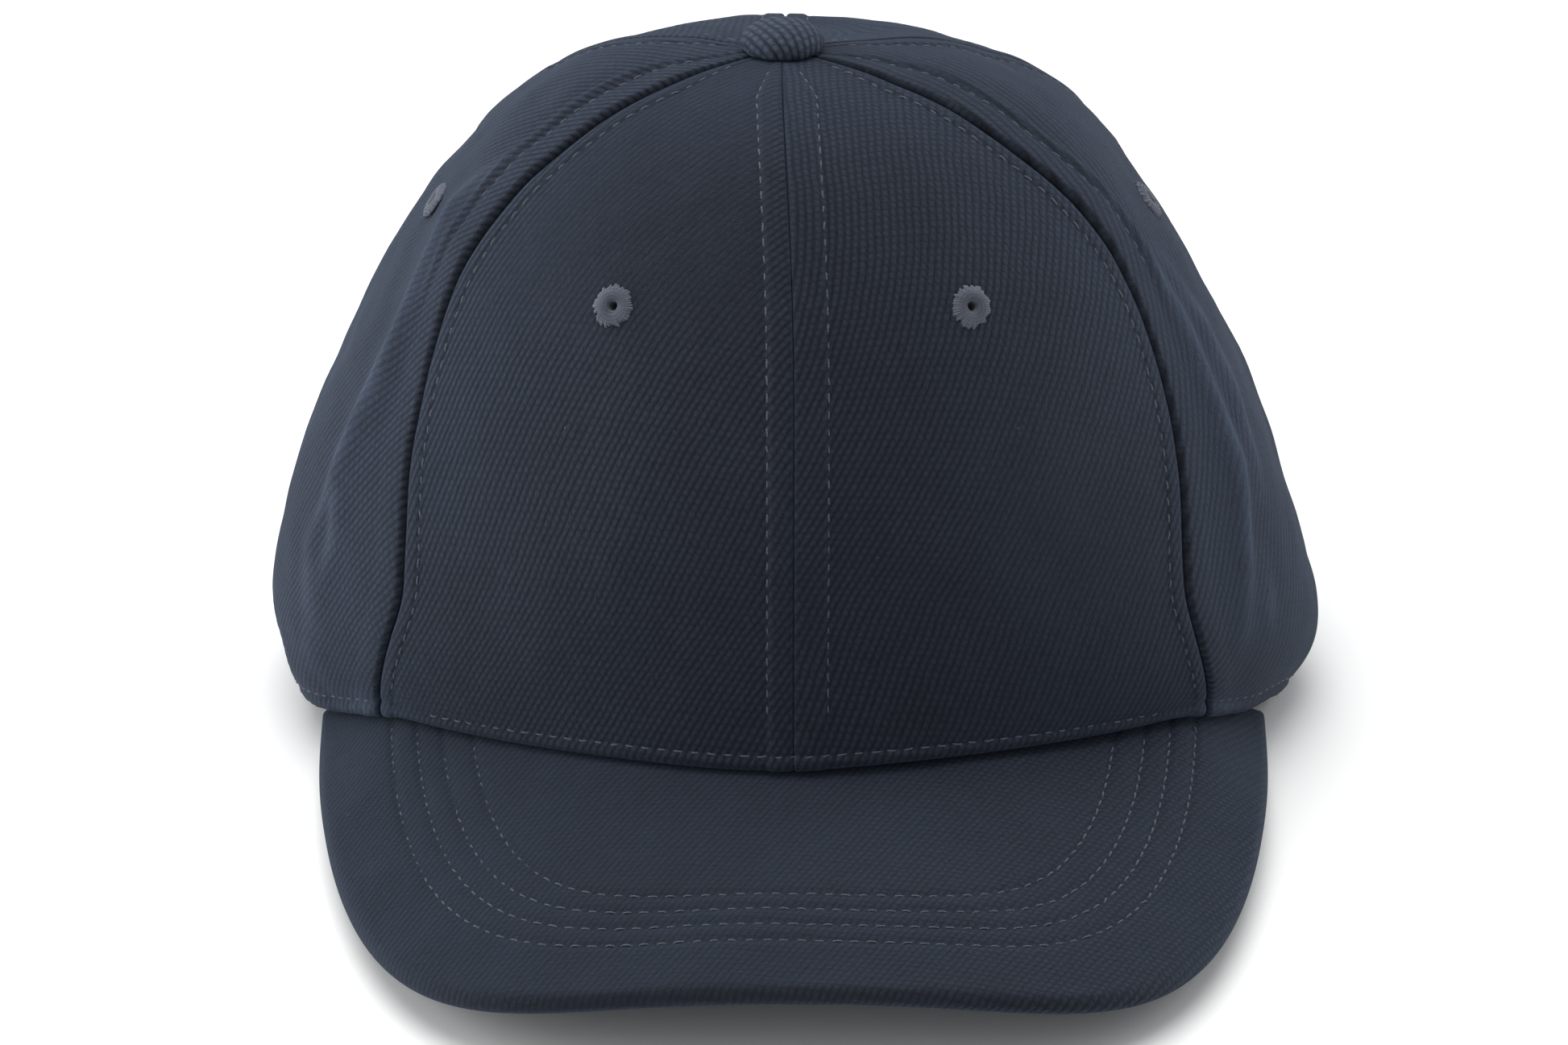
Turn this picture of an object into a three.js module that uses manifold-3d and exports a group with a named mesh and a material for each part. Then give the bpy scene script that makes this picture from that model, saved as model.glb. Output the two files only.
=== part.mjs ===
// Six-panel baseball cap with a curved bill, a covered top button and a metal clamp buckle at the back.
// Millimetres, +Z up. The front of the cap faces -Y and the rear of its rim rests on Z = 0.
import * as THREE from 'three';
import { LoftGeometry } from 'three/addons/geometries/LoftGeometry.js';
import { mergeVertices } from 'three/addons/utils/BufferGeometryUtils.js';
import Module from 'manifold-3d';

const wasm = await Module();
wasm.setup();

// ---------------------------------------------------------------------------------------------
// Driving dimensions
// ---------------------------------------------------------------------------------------------

// The crown's rim in plan: half an oval in front of the crown's middle and half an ellipse behind it.
const RIM_HALF_WIDTH = 94;
const RIM_FRONT_DEPTH = 81.5;
const RIM_REAR_DEPTH = 101;
const RIM_FRONT_POWER = 1.8;
const RIM_REAR_POWER = 2;

// The crown's profile at the front, the sides and the rear. inPower and upPower shape the curve
// from rim to apex, and bulge pushes the wall out just above the rim.
const PROFILE = {
  front: { inPower: 0.75, upPower: 0.77, bulge: -2.2 },
  side: { inPower: 0.735, upPower: 1.02, bulge: 7 },
  rear: { inPower: 0.9, upPower: 0.9, bulge: 1.5 },
};
const BULGE_AT = 0.1;
const BULGE_FACTOR = 1.3;
const APEX_HEIGHT = 136;
const APEX_LEFT = 2.2;
const APEX_FORWARD = 7.5;
const LEAN_FROM = 0.35;
const TOP_TILT = 1;

// The crown stands just clear of the bill in front. Between these azimuths its rim leaves the bill
// and falls to the ground.
const RIM_LIFT = 0.4;
const RIM_LEAVES_BILL = 74;
const RIM_ON_GROUND = 94;

// The bill: a sheet arched across its width that slopes down towards its front edge.
const BILL_SEAM_HEIGHT = 24.3;
const BILL_SLOPE = 5.9;
const BILL_ARCH = 13.7;
const BILL_ARCH_AT = 80;
const BILL_ARCH_POWER = 2.4;
const BILL_TIP_DROOP = 4.5;
const BILL_LENGTH = 64.1;
const BILL_HALF_WIDTH = 90.2;
const BILL_CORNER_Y = -24;
const BILL_SIDE_POWER = 5;
const BILL_FRONT_POWER = 1.68;
const BILL_END_AZIMUTH = 71;
const BILL_UNDER_CROWN = 4;

// Near its ends the bill narrows to a point and its layers get thinner.
const BILL_NARROW_SPAN = 14;
const BILL_END_THINNING = 0.3;

// Layers of the bill, as depths below its upper surface.
const TOP_COVER = { from: 0, to: 0.8 };
const BOARD = { from: 1.2, to: 2.6 };
const BOTTOM_COVER = { from: 3, to: 3.8 };

// Seams between panels, as azimuths from the front at stations from rim (0) to apex (1).
const SEAM_STATIONS = [0, 0.08, 0.14, 0.3, 0.48, 0.62, 0.75, 1];
const SEAM_FRONT_SIDE = [62, 57.5, 56, 60, 63, 62, 60, 60];
const SEAM_SIDE_REAR = [118, 119, 120, 120, 120, 120, 120, 120];
const SEAM_GAP = 0.3;

// Layers of the crown, as depths below its outer surface.
const PANEL = { from: 0, to: 1.2 };
const BUCKRAM = { from: 1.7, to: 2.3 };
const FRONT_TAPE = { from: 2.9, to: 3.5 };
const BACK_TAPE = { from: 1.8, to: 2.4 };
const SWEATBAND = { from: 5, to: 6.2 };
const SWEATBAND_BACKING = { from: 4, to: 4.6 };
const SWEATBAND_HEIGHT = 32;
const SWEATBAND_INWARD = 3.8;
const TAPE_WIDTH = 14;
const TAPE_BOTTOM = 3;
const BUCKRAM_INSET = 2.5;
const BUCKRAM_BOTTOM = 2;

// Distances from the apex at which the layers of the crown end.
const APEX_HOLE_RADIUS = 2.8;
const TAPE_END_RADIUS = 15.5;
const BUCKRAM_END_RADIUS = 16;

// The rear opening and its closure.
const ARCH_HALF_WIDTH = 40;
const ARCH_HEIGHT = 52;
const STRAP_WIDTH = 20;
const STRAP_BOTTOM = 4;
const STRAP_ARC_CENTRE_Y = 13.5;
const STRAP_ARC_RADIUS = 83.9;
const STRAP_THICKNESS = 1.2;

// How far the crown's own middle lies behind the middle of the cap's footprint.
const CROWN_BEHIND_ORIGIN = 21.98;

// Colours of the materials.
const COLOURS = {
  twill: { color: 0x2b303b, roughness: 0.92, metalness: 0 },
  twill_bill: { color: 0x2f3541, roughness: 0.92, metalness: 0 },
  thread: { color: 0x565b68, roughness: 0.8, metalness: 0 },
  lining: { color: 0x23272f, roughness: 0.95, metalness: 0 },
  buckram: { color: 0xd9d6cc, roughness: 0.95, metalness: 0 },
  board: { color: 0xe6e4de, roughness: 0.6, metalness: 0 },
  metal: { color: 0x8f8468, roughness: 0.4, metalness: 1 },
  label: { color: 0xe8e6e0, roughness: 0.85, metalness: 0 },
};

// ---------------------------------------------------------------------------------------------
// Surfaces
// ---------------------------------------------------------------------------------------------

const rad = THREE.MathUtils.degToRad;
const smooth = THREE.MathUtils.smoothstep;
const lerp = THREE.MathUtils.lerp;

// Smooth curve through values at uneven stations.
function throughStations(stations, values, t) {
  const last = stations.length - 1;
  let i = 0;
  while (i < last - 1 && t > stations[i + 1]) {
    i += 1;
  }
  const slope = (k) => {
    const a = Math.max(k - 1, 0);
    const b = Math.min(k + 1, last);
    return (values[b] - values[a]) / (stations[b] - stations[a]);
  };
  const h = stations[i + 1] - stations[i];
  const q = (t - stations[i]) / h;
  const q2 = q * q;
  const q3 = q2 * q;
  return (2 * q3 - 3 * q2 + 1) * values[i] + (q3 - 2 * q2 + q) * h * slope(i)
    + (3 * q2 - 2 * q3) * values[i + 1] + (q3 - q2) * h * slope(i + 1);
}

// Height of the bill's upper surface over a point in plan.
function billHeight(x, y) {
  const arch = BILL_ARCH * (Math.abs(x) / BILL_ARCH_AT) ** BILL_ARCH_POWER;
  const fall = Math.tan(rad(BILL_SLOPE)) * (y + RIM_FRONT_DEPTH);
  const droop = BILL_TIP_DROOP * smooth(Math.abs(x), 70, 90) * smooth(y, -75, -27);
  return BILL_SEAM_HEIGHT - arch + fall - droop;
}

function rimRadius(u) {
  const s = Math.abs(Math.sin(u));
  const c = Math.cos(u);
  const front = c > 0;
  const power = front ? RIM_FRONT_POWER : RIM_REAR_POWER;
  const depth = front ? RIM_FRONT_DEPTH : RIM_REAR_DEPTH;
  return ((s / RIM_HALF_WIDTH) ** power + (Math.abs(c) / depth) ** power) ** (-1 / power);
}

// Height of the crown's lower edge: on the bill in front, falling to zero at the sides.
function rimHeight(u, x, y) {
  const offBill = smooth(Math.abs(THREE.MathUtils.radToDeg(u)), RIM_LEAVES_BILL, RIM_ON_GROUND);
  return (billHeight(x, y) + RIM_LIFT) * (1 - offBill);
}

// Blend of a profile value between front, side and rear.
function profile(u, key) {
  const c = Math.cos(u);
  const front = Math.max(c, 0) ** 1.5;
  const rear = Math.max(-c, 0) ** 1.5;
  return PROFILE.front[key] * front + PROFILE.rear[key] * rear + PROFILE.side[key] * (1 - front - rear);
}

// The crown's outer surface. u is the azimuth from the front, v runs from rim (0) to apex (1).
function crownSurface(u, v) {
  const phi = v * Math.PI / 2;
  const r0 = rimRadius(u);
  const z0 = rimHeight(u, r0 * Math.sin(u), -r0 * Math.cos(u));
  const inward = Math.max(Math.cos(phi), 1e-9) ** profile(u, 'inPower');
  const upward = Math.sin(phi) ** profile(u, 'upPower');
  const rise = (v / BULGE_AT) * Math.exp(1 - v / BULGE_AT) * (1 - v);
  const bulge = BULGE_FACTOR * profile(u, 'bulge') * rise;
  const r = r0 * inward + bulge;
  const x = r * Math.sin(u);
  const y = -r * Math.cos(u);
  const tilt = Math.tan(rad(TOP_TILT)) * y * Math.sin(phi) ** 2;
  const shift = smooth(v, LEAN_FROM, 1);
  return new THREE.Vector3(
    x - APEX_LEFT * shift,
    y - APEX_FORWARD * shift,
    z0 + (APEX_HEIGHT - z0) * upward - tilt,
  );
}

function crownNormal(u, v) {
  const w = THREE.MathUtils.clamp(v, 0.004, 0.997);
  const along = crownSurface(u + 0.01, w).sub(crownSurface(u - 0.01, w));
  const up = crownSurface(u, w + 0.002).sub(crownSurface(u, w - 0.002));
  return along.cross(up).normalize();
}

// A point at a depth below the crown's outer surface. On the rim the layers end level.
function crownPoint(u, v, depth) {
  const p = crownSurface(u, v).addScaledVector(crownNormal(u, v), -depth);
  if (v === 0) {
    p.z = rimHeight(u, p.x, p.y);
  }
  return p;
}

// The station at which the crown's surface is a given height above its rim.
function stationAtHeight(u, height) {
  const base = crownSurface(u, 0).z;
  let low = 0;
  let high = 0.8;
  for (let i = 0; i < 30; i += 1) {
    const mid = (low + high) / 2;
    if (crownSurface(u, mid).z - base < height) {
      low = mid;
    } else {
      high = mid;
    }
  }
  return (low + high) / 2;
}

// Distance of the surface from the line that the panels close round, which leans with the apex.
function axisDistance(u, v) {
  const p = crownSurface(u, v);
  const shift = smooth(v, LEAN_FROM, 1);
  return Math.hypot(p.x + APEX_LEFT * shift, p.y + APEX_FORWARD * shift);
}

// The station at which the crown's surface is a given distance from that line.
function stationAtRadius(u, radius) {
  let low = 0.5;
  let high = 1;
  for (let i = 0; i < 40; i += 1) {
    const mid = (low + high) / 2;
    if (axisDistance(u, mid) > radius) {
      low = mid;
    } else {
      high = mid;
    }
  }
  return (low + high) / 2;
}

// ---------------------------------------------------------------------------------------------
// Solids
// ---------------------------------------------------------------------------------------------

function solidFrom(geometry) {
  const bare = (geometry.index ? geometry.toNonIndexed() : geometry).clone();
  bare.deleteAttribute('normal');
  bare.deleteAttribute('uv');
  const merged = mergeVertices(bare, 1e-3);
  return new wasm.Manifold(new wasm.Mesh({
    numProp: 3,
    vertProperties: merged.attributes.position.array,
    triVerts: new Uint32Array(merged.index.array),
  }));
}

function geometryFrom(solid) {
  const mesh = solid.getMesh();
  const geometry = new THREE.BufferGeometry();
  geometry.setAttribute('position', new THREE.BufferAttribute(new Float32Array(mesh.vertProperties), 3));
  geometry.setIndex(new THREE.BufferAttribute(new Uint32Array(mesh.triVerts), 1));
  geometry.computeVertexNormals();
  return geometry;
}

function enclosedVolume(geometry) {
  const position = geometry.attributes.position;
  const index = geometry.index;
  const a = new THREE.Vector3();
  const b = new THREE.Vector3();
  const c = new THREE.Vector3();
  let volume = 0;
  for (let i = 0; i < index.count; i += 3) {
    a.fromBufferAttribute(position, index.getX(i));
    b.fromBufferAttribute(position, index.getX(i + 1));
    c.fromBufferAttribute(position, index.getX(i + 2));
    volume += a.dot(b.cross(c)) / 6;
  }
  return volume;
}

// A closed solid through a row of sections. Each section runs along one face of the piece and back
// along the other, and the ends are closed along the line midway between the two faces.
function loftSolid(sections) {
  const midline = (section) => section.map((p, i) => p.clone().lerp(section[section.length - 1 - i], 0.5));
  const all = [midline(sections[0]), ...sections, midline(sections[sections.length - 1])];
  const geometry = new LoftGeometry(all);
  if (enclosedVolume(geometry) > 0) {
    return geometry;
  }
  return new LoftGeometry(all.map((section) => [...section].reverse()));
}

// A profile of [radius, height] points turned about the vertical axis, whichever way it runs.
function lathe(profilePoints, segments) {
  const turn = (points) => new THREE.LatheGeometry(points, segments).rotateX(Math.PI / 2);
  const points = profilePoints.map(([r, z]) => new THREE.Vector2(r, z));
  const geometry = turn(points);
  return enclosedVolume(geometry) > 0 ? geometry : turn(points.reverse());
}

// Stations shared by every layer of the crown, so that their facets lie parallel.
const STATIONS = [
  0, 0.03, 0.065, 0.105, 0.155, 0.22, 0.3, 0.38, 0.47, 0.56, 0.65, 0.74, 0.82, 0.89, 0.95, 0.982,
];

function stationsBetween(from, to) {
  return [from, ...STATIONS.filter((v) => v > from + 0.008 && v < to - 0.004), to];
}

// A patch of cloth on the crown between two seams, each given as an azimuth at a station.
function crownPatch({ left, right, layer, bottom, top, across, inset }) {
  const sections = [];
  const centre = (left(0.3) + right(0.3)) / 2;
  const inner = stationsBetween(bottom(centre), top(centre)).slice(1, -1);
  for (let i = 0; i <= across; i += 1) {
    const t = i / across;
    const middle = lerp(left(0.3), right(0.3), t);
    const front = [];
    const back = [];
    for (const v of [bottom(middle), ...inner, top(middle)]) {
      const a = left(v);
      const b = right(v);
      const margin = Math.asin(Math.min(inset / axisDistance((a + b) / 2, v), 0.6));
      const u = lerp(a + margin, b - margin, t);
      front.push(crownPoint(u, v, layer.from));
      back.push(crownPoint(u, v, layer.to));
    }
    sections.push([...front, ...back.reverse()]);
  }
  return loftSolid(sections);
}

const seam = {
  front: () => 0,
  frontRight: (v) => rad(throughStations(SEAM_STATIONS, SEAM_FRONT_SIDE, v)),
  rearRight: (v) => rad(throughStations(SEAM_STATIONS, SEAM_SIDE_REAR, v)),
  rear: () => Math.PI,
};
const mirrored = (line) => (v) => -line(v);

// The arched opening at the rear, cut straight through from behind.
function archShape(halfWidth, height, below) {
  const shape = new THREE.Shape();
  const straight = height - halfWidth;
  shape.moveTo(halfWidth, -below);
  shape.lineTo(halfWidth, straight);
  shape.absellipse(0, straight, halfWidth, halfWidth, 0, Math.PI, false);
  shape.lineTo(-halfWidth, -below);
  shape.closePath();
  return shape;
}

function archCutter() {
  const shape = archShape(ARCH_HALF_WIDTH, ARCH_HEIGHT, 5);
  const geometry = new THREE.ExtrudeGeometry(shape, { depth: 80, bevelEnabled: false, curveSegments: 20 });
  geometry.rotateX(Math.PI / 2);
  geometry.translate(0, 130, 0);
  return solidFrom(geometry);
}

// Frame of reference on the crown: at a surface point, with +Z along the outward normal.
function placeOnCrown(object, u, v, lift) {
  const normal = crownNormal(u, v);
  object.position.copy(crownSurface(u, v)).addScaledVector(normal, lift);
  object.quaternion.setFromUnitVectors(new THREE.Vector3(0, 0, 1), normal);
}

// ---------------------------------------------------------------------------------------------
// The cap
// ---------------------------------------------------------------------------------------------

// The origin is the middle of the cap's footprint, in front of the crown's own middle.
const cap = new THREE.Group();
cap.position.set(0, CROWN_BEHIND_ORIGIN, 0);
const crown = new THREE.Group();
const bill = new THREE.Group();
const closure = new THREE.Group();
cap.add(crown, bill, closure);

function addPart(group, name, geometry, look) {
  const mesh = new THREE.Mesh(geometry, new THREE.MeshStandardMaterial(COLOURS[look]));
  mesh.name = name;
  group.add(mesh);
  return mesh;
}

// Panels. Each has an eyelet hole, and the rear pair also has its half of the opening.
const EYELET_HOLE_RADIUS = 2.5;
const EYELETS = {
  front: { u: rad(29.6), v: 0.479 },
  side: { u: rad(88), v: 0.565 },
  rear: { u: rad(150), v: 0.54 },
};

function eyeletDrill(u, v) {
  const pin = new THREE.Mesh(new THREE.CylinderGeometry(EYELET_HOLE_RADIUS, EYELET_HOLE_RADIUS, 12, 16)
    .rotateX(Math.PI / 2));
  placeOnCrown(pin, u, v, 0);
  pin.updateMatrix();
  return solidFrom(pin.geometry.applyMatrix4(pin.matrix));
}

const atRim = () => 0;
const atApexHole = (u) => stationAtRadius(u, APEX_HOLE_RADIUS);

function panel(left, right, eyelet, cutters) {
  const patch = crownPatch({
    left, right, layer: PANEL, bottom: atRim, top: atApexHole, across: 8, inset: SEAM_GAP / 2,
  });
  let solid = solidFrom(patch).subtract(eyeletDrill(eyelet.u, eyelet.v));
  for (const cutter of cutters) {
    solid = solid.subtract(cutter);
  }
  return geometryFrom(solid);
}

for (const [side, sign] of [['left', -1], ['right', 1]]) {
  const span = (from, to) => (sign > 0 ? [from, to] : [mirrored(to), mirrored(from)]);
  const at = (eyelet) => ({ u: sign * eyelet.u, v: eyelet.v });
  const front = span(seam.front, seam.frontRight);
  const flank = span(seam.frontRight, seam.rearRight);
  const rear = span(seam.rearRight, seam.rear);
  addPart(crown, `front_panel_${side}`, panel(...front, at(EYELETS.front), []), 'twill');
  addPart(crown, `side_panel_${side}`, panel(...flank, at(EYELETS.side), []), 'twill');
  addPart(crown, `rear_panel_${side}`, panel(...rear, at(EYELETS.rear), [archCutter()]), 'twill');

  const mesh = crownPatch({
    left: front[0],
    right: front[1],
    layer: BUCKRAM,
    bottom: (u) => stationAtHeight(u, BUCKRAM_BOTTOM),
    top: (u) => stationAtRadius(u, BUCKRAM_END_RADIUS),
    across: 8,
    inset: BUCKRAM_INSET,
  });
  const drilled = solidFrom(mesh).subtract(eyeletDrill(sign * EYELETS.front.u, EYELETS.front.v));
  addPart(crown, `buckram_${side}`, geometryFrom(drilled), 'buckram');
}

// Embroidered eyelets: a ring of thread that wraps the edge of its hole.
function eyeletRing(thickness) {
  const back = -thickness;
  return lathe([
    [1.2, 0.5], [1.9, 1.1], [3.1, 1.1], [3.8, 0.5], [2.1, 0.5],
    [2.1, back - 0.6], [3.6, back - 0.6], [3.6, back - 1], [1.2, back - 1], [1.2, 0.5],
  ], 12);
}

for (const [side, sign] of [['left', -1], ['right', 1]]) {
  for (const [where, { u, v }] of Object.entries(EYELETS)) {
    const through = where === 'front' ? BUCKRAM.to : PANEL.to;
    const eyelet = addPart(crown, `eyelet_${where}_${side}`, eyeletRing(through), 'thread');
    placeOnCrown(eyelet, sign * u, v, 0);
  }
}

// Tapes over the seams inside the crown.
function seamTape(line, layer, bottomHeight) {
  const sections = [];
  const start = line(0.3);
  const top = stationAtRadius(start, TAPE_END_RADIUS);
  for (const v of stationsBetween(stationAtHeight(start, bottomHeight), top)) {
    const u = line(v);
    const half = Math.asin(TAPE_WIDTH / 2 / axisDistance(u, v));
    const ring = [];
    for (const t of [-1, 0, 1]) {
      ring.push(crownPoint(u + t * half, v, layer.from));
    }
    for (const t of [1, 0, -1]) {
      ring.push(crownPoint(u + t * half, v, layer.to));
    }
    sections.push(ring);
  }
  return loftSolid(sections);
}

const TAPES = [
  ['front', seam.front, FRONT_TAPE, TAPE_BOTTOM],
  ['front_right', seam.frontRight, FRONT_TAPE, TAPE_BOTTOM],
  ['front_left', mirrored(seam.frontRight), FRONT_TAPE, TAPE_BOTTOM],
  ['rear_right', seam.rearRight, BACK_TAPE, TAPE_BOTTOM],
  ['rear_left', mirrored(seam.rearRight), BACK_TAPE, TAPE_BOTTOM],
  ['rear', seam.rear, BACK_TAPE, ARCH_HEIGHT + 9],
];
for (const [where, line, layer, bottom] of TAPES) {
  addPart(crown, `seam_tape_${where}`, seamTape(line, layer, bottom), 'lining');
}

// The sweatband runs round the rim from one side of the rear opening to the other, and moves in
// behind the ends of the closure's straps.
function band(layer, endAzimuth, bottom, height, sectionsCount) {
  const sections = [];
  for (let i = 0; i <= sectionsCount; i += 1) {
    const u = rad(lerp(-endAzimuth, endAzimuth, i / sectionsCount));
    const inward = SWEATBAND_INWARD * smooth(Math.abs(u), rad(112), rad(136));
    const v0 = stationAtHeight(u, bottom);
    const v1 = stationAtHeight(u, height);
    const outer = [];
    const inner = [];
    for (const t of [0, 0.3, 0.65, 1]) {
      const v = lerp(v0, v1, t);
      outer.push(crownPoint(u, v, layer.from + inward));
      inner.push(crownPoint(u, v, layer.to + inward));
    }
    sections.push([...outer, ...inner.reverse()]);
  }
  return loftSolid(sections);
}

addPart(crown, 'sweatband', band(SWEATBAND, 149, 0.6, SWEATBAND_HEIGHT, 32), 'lining');
addPart(crown, 'sweatband_backing', band(SWEATBAND_BACKING, 110, 4, SWEATBAND_HEIGHT - 6, 24), 'buckram');

// A blank size label that lies on the sweatband, on the left side of the cap.
function sizeLabel() {
  const heights = [4, 12, 20];
  const layer = { from: SWEATBAND.to + 1.1, to: SWEATBAND.to + 1.5 };
  const sections = [];
  for (let i = 0; i <= 4; i += 1) {
    const u = -rad(lerp(94, 106, i / 4));
    const face = (depth) => heights.map((height) => crownPoint(u, stationAtHeight(u, height), depth));
    sections.push([...face(layer.from), ...face(layer.to).reverse()]);
  }
  return loftSolid(sections);
}

addPart(crown, 'size_label', sizeLabel(), 'label');

// The binding folded over the edge of the rear opening.
function pointAt(x, z) {
  let v = 0.3;
  let u = Math.PI;
  for (let i = 0; i < 12; i += 1) {
    v = stationAtHeight(u, z);
    const p = crownSurface(u, v);
    const lean = p.x - Math.hypot(p.x, p.y) * Math.sin(u);
    u = Math.PI - Math.asin((x - lean) / Math.hypot(p.x, p.y));
  }
  return { u, v };
}

function archBinding() {
  const sections = [];
  const path = archShape(ARCH_HALF_WIDTH, ARCH_HEIGHT, -1.2);
  const outline = path.getPoints(24).slice(0, -1);
  outline.push(new THREE.Vector2(-ARCH_HALF_WIDTH, 1.2));
  const steps = [];
  for (const q of outline) {
    if (!steps.length || steps[steps.length - 1].distanceTo(q) > 0.5) {
      steps.push(q);
    }
  }
  const spine = steps.map((q) => new THREE.Vector3(q.x, 0, q.y));
  const evenly = new THREE.CatmullRomCurve3(spine, false, 'centripetal').getSpacedPoints(26);
  for (let i = 0; i < evenly.length; i += 1) {
    const q = evenly[i];
    const before = evenly[Math.max(i - 1, 0)];
    const after = evenly[Math.min(i + 1, evenly.length - 1)];
    const { u, v } = pointAt(q.x, q.z);
    const centre = crownSurface(u, v);
    const normal = crownNormal(u, v);
    const b = pointAt(before.x, before.z);
    const a = pointAt(after.x, after.z);
    const along = crownSurface(a.u, a.v).sub(crownSurface(b.u, b.v)).normalize();
    const outward = new THREE.Vector3().crossVectors(along, normal).normalize();
    if (outward.dot(new THREE.Vector3(q.x, 0, q.z - 12)) < 0) {
      outward.negate();
    }
    const level = new THREE.Vector3().crossVectors(outward, along).normalize();
    if (level.dot(normal) < 0) {
      level.negate();
    }
    const ring = [
      [6, 1], [-0.6, 1], [-1.3, 0.4], [-1.3, -1.8], [-0.6, -2.4], [6, -2.4],
      [6, -1.9], [-0.4, -1.9], [-0.6, -1.6], [-0.6, 0.1], [-0.4, 0.5], [6, 0.5],
    ].map(([out, up]) => centre.clone().addScaledVector(outward, out).addScaledVector(level, up));
    sections.push(ring);
  }
  return loftSolid(sections);
}

addPart(crown, 'rear_arch_binding', archBinding(), 'twill');

// The top button: a metal dome with a stem through the crown, its cloth cover, and a disc inside.
const apex = new THREE.Group();
apex.position.copy(crownSurface(0, 1));
apex.rotation.x = -rad(TOP_TILT);
crown.add(apex);

function dome(radius, height, base, count) {
  const points = [];
  for (let i = 0; i <= count; i += 1) {
    const t = (i / count) * Math.PI / 2;
    points.push([radius * Math.sin(t) ** 0.9, base + (height - base) * Math.cos(t) ** 0.8]);
  }
  points[0][0] = 0;
  return points;
}

const coverProfile = [
  ...dome(7.7, 5.7, 1.4, 5),
  [6.9, 0.5], [5, 0.5], [5, 1], [6.5, 1],
  ...dome(7.05, 5.05, 1.5, 4).reverse(),
];
addPart(apex, 'button_cover', lathe(coverProfile, 20), 'twill');

const shellProfile = [
  ...dome(6.5, 4.5, 1.4, 4),
  [5.9, 1.4],
  ...dome(5.7, 3.8, 1.7, 3).reverse().slice(0, -1),
  [1.2, 3.3], [1.2, -6], [0, -6],
];
addPart(apex, 'button_shell', lathe(shellProfile, 16), 'metal');

const discProfile = [[1.6, -4.3], [6, -4.3], [6, -3.9], [5.4, -3.5], [1.6, -3.5], [1.6, -4.3]];
addPart(apex, 'button_back', lathe(discProfile, 20), 'metal');

// ---------------------------------------------------------------------------------------------
// The bill
// ---------------------------------------------------------------------------------------------

// Outer edge in plan, from one end of the bill (-1) to the other (1).
function billEdge(s) {
  const front = -(RIM_FRONT_DEPTH + BILL_LENGTH * Math.cos(rad(BILL_SLOPE)));
  const t = s * Math.PI / 2;
  const x = BILL_HALF_WIDTH * Math.sign(s) * Math.abs(Math.sin(t)) ** (2 / BILL_SIDE_POWER);
  const y = BILL_CORNER_Y + (front - BILL_CORNER_Y) * Math.abs(Math.cos(t)) ** (2 / BILL_FRONT_POWER);
  return new THREE.Vector3(x, y, 0);
}

// Inner edge in plan, tucked under the crown.
function billRoot(s) {
  const u = s * rad(BILL_END_AZIMUTH);
  const r = rimRadius(u);
  const du = 0.01;
  const a = rimRadius(u + du);
  const b = rimRadius(u - du);
  const tangent = new THREE.Vector3(
    a * Math.sin(u + du) - b * Math.sin(u - du),
    -a * Math.cos(u + du) + b * Math.cos(u - du),
    0,
  ).normalize();
  const inward = new THREE.Vector3(-tangent.y, tangent.x, 0);
  return new THREE.Vector3(r * Math.sin(u), -r * Math.cos(u), 0).addScaledVector(inward, BILL_UNDER_CROWN);
}

// Parameters along the edge, spaced so that the points are even along the outline.
function billSteps(count) {
  const fine = [];
  let length = 0;
  let last = billEdge(-1);
  for (let i = 0; i <= 1200; i += 1) {
    const s = -1 + i / 600;
    const p = billEdge(s);
    length += p.distanceTo(last);
    fine.push({ s, length });
    last = p;
  }
  const steps = [];
  for (let i = 0; i <= count; i += 1) {
    const wanted = (length * i) / count;
    steps.push(fine.find((f) => f.length >= wanted - 1e-6).s);
  }
  steps[0] = -1;
  steps[count] = 1;
  return steps;
}

// Fraction of the root that faces each point of the outline.
function rootFor(steps, i) {
  return lerp(-1, 1, i / (steps.length - 1));
}

// A layer of the bill. Its section is a list of [run, inset, depth]: run is 0 at the root and 1 at
// the edge, inset moves the point back from the edge and depth moves it below the upper surface.
function billLayer(section) {
  const steps = billSteps(26);
  const deepest = Math.max(...section.map(([, inset]) => inset));
  const sections = steps.map((s, i) => {
    const edge = billEdge(s);
    const root = billRoot(rootFor(steps, i));
    const span = root.distanceTo(edge);
    const scale = Math.min(1, span / BILL_NARROW_SPAN);
    const thinner = 1 - BILL_END_THINNING * smooth(Math.abs(s), 0.95, 1);
    return section.map(([run, inset, depth]) => {
      const t = run * (1 - ((run < 1 ? deepest : inset) * scale) / span);
      const p = root.clone().lerp(edge, t);
      p.z = billHeight(p.x, p.y) - depth * thinner;
      return p;
    });
  });
  return loftSolid(sections);
}

const RUNS = [0, 0.25, 0.5, 0.75];
const atDepth = (depth) => RUNS.map((run) => [run, 0, depth]);
const backAtDepth = (depth) => atDepth(depth).reverse();

// The top cover wraps round the bill's edge and ends in a lip below it.
addPart(bill, 'bill_top_cover', billLayer([
  ...atDepth(TOP_COVER.from),
  [1, 1.2, TOP_COVER.from],
  [1, 0, 1.3],
  [1, 0, 2.5],
  [1, 1.2, BOTTOM_COVER.to],
  [1, 3, BOTTOM_COVER.to],
  [1, 3, 3.1],
  [1, 1.6, 3.1],
  [1, 1, 2.4],
  [1, 1, 1.5],
  [1, 1.9, TOP_COVER.to],
  ...backAtDepth(TOP_COVER.to),
]), 'twill_bill');

addPart(bill, 'bill_board', billLayer([
  ...atDepth(BOARD.from),
  [1, 3, BOARD.from],
  [1, 2.2, 1.9],
  [1, 3, BOARD.to],
  ...backAtDepth(BOARD.to),
]), 'board');

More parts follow.
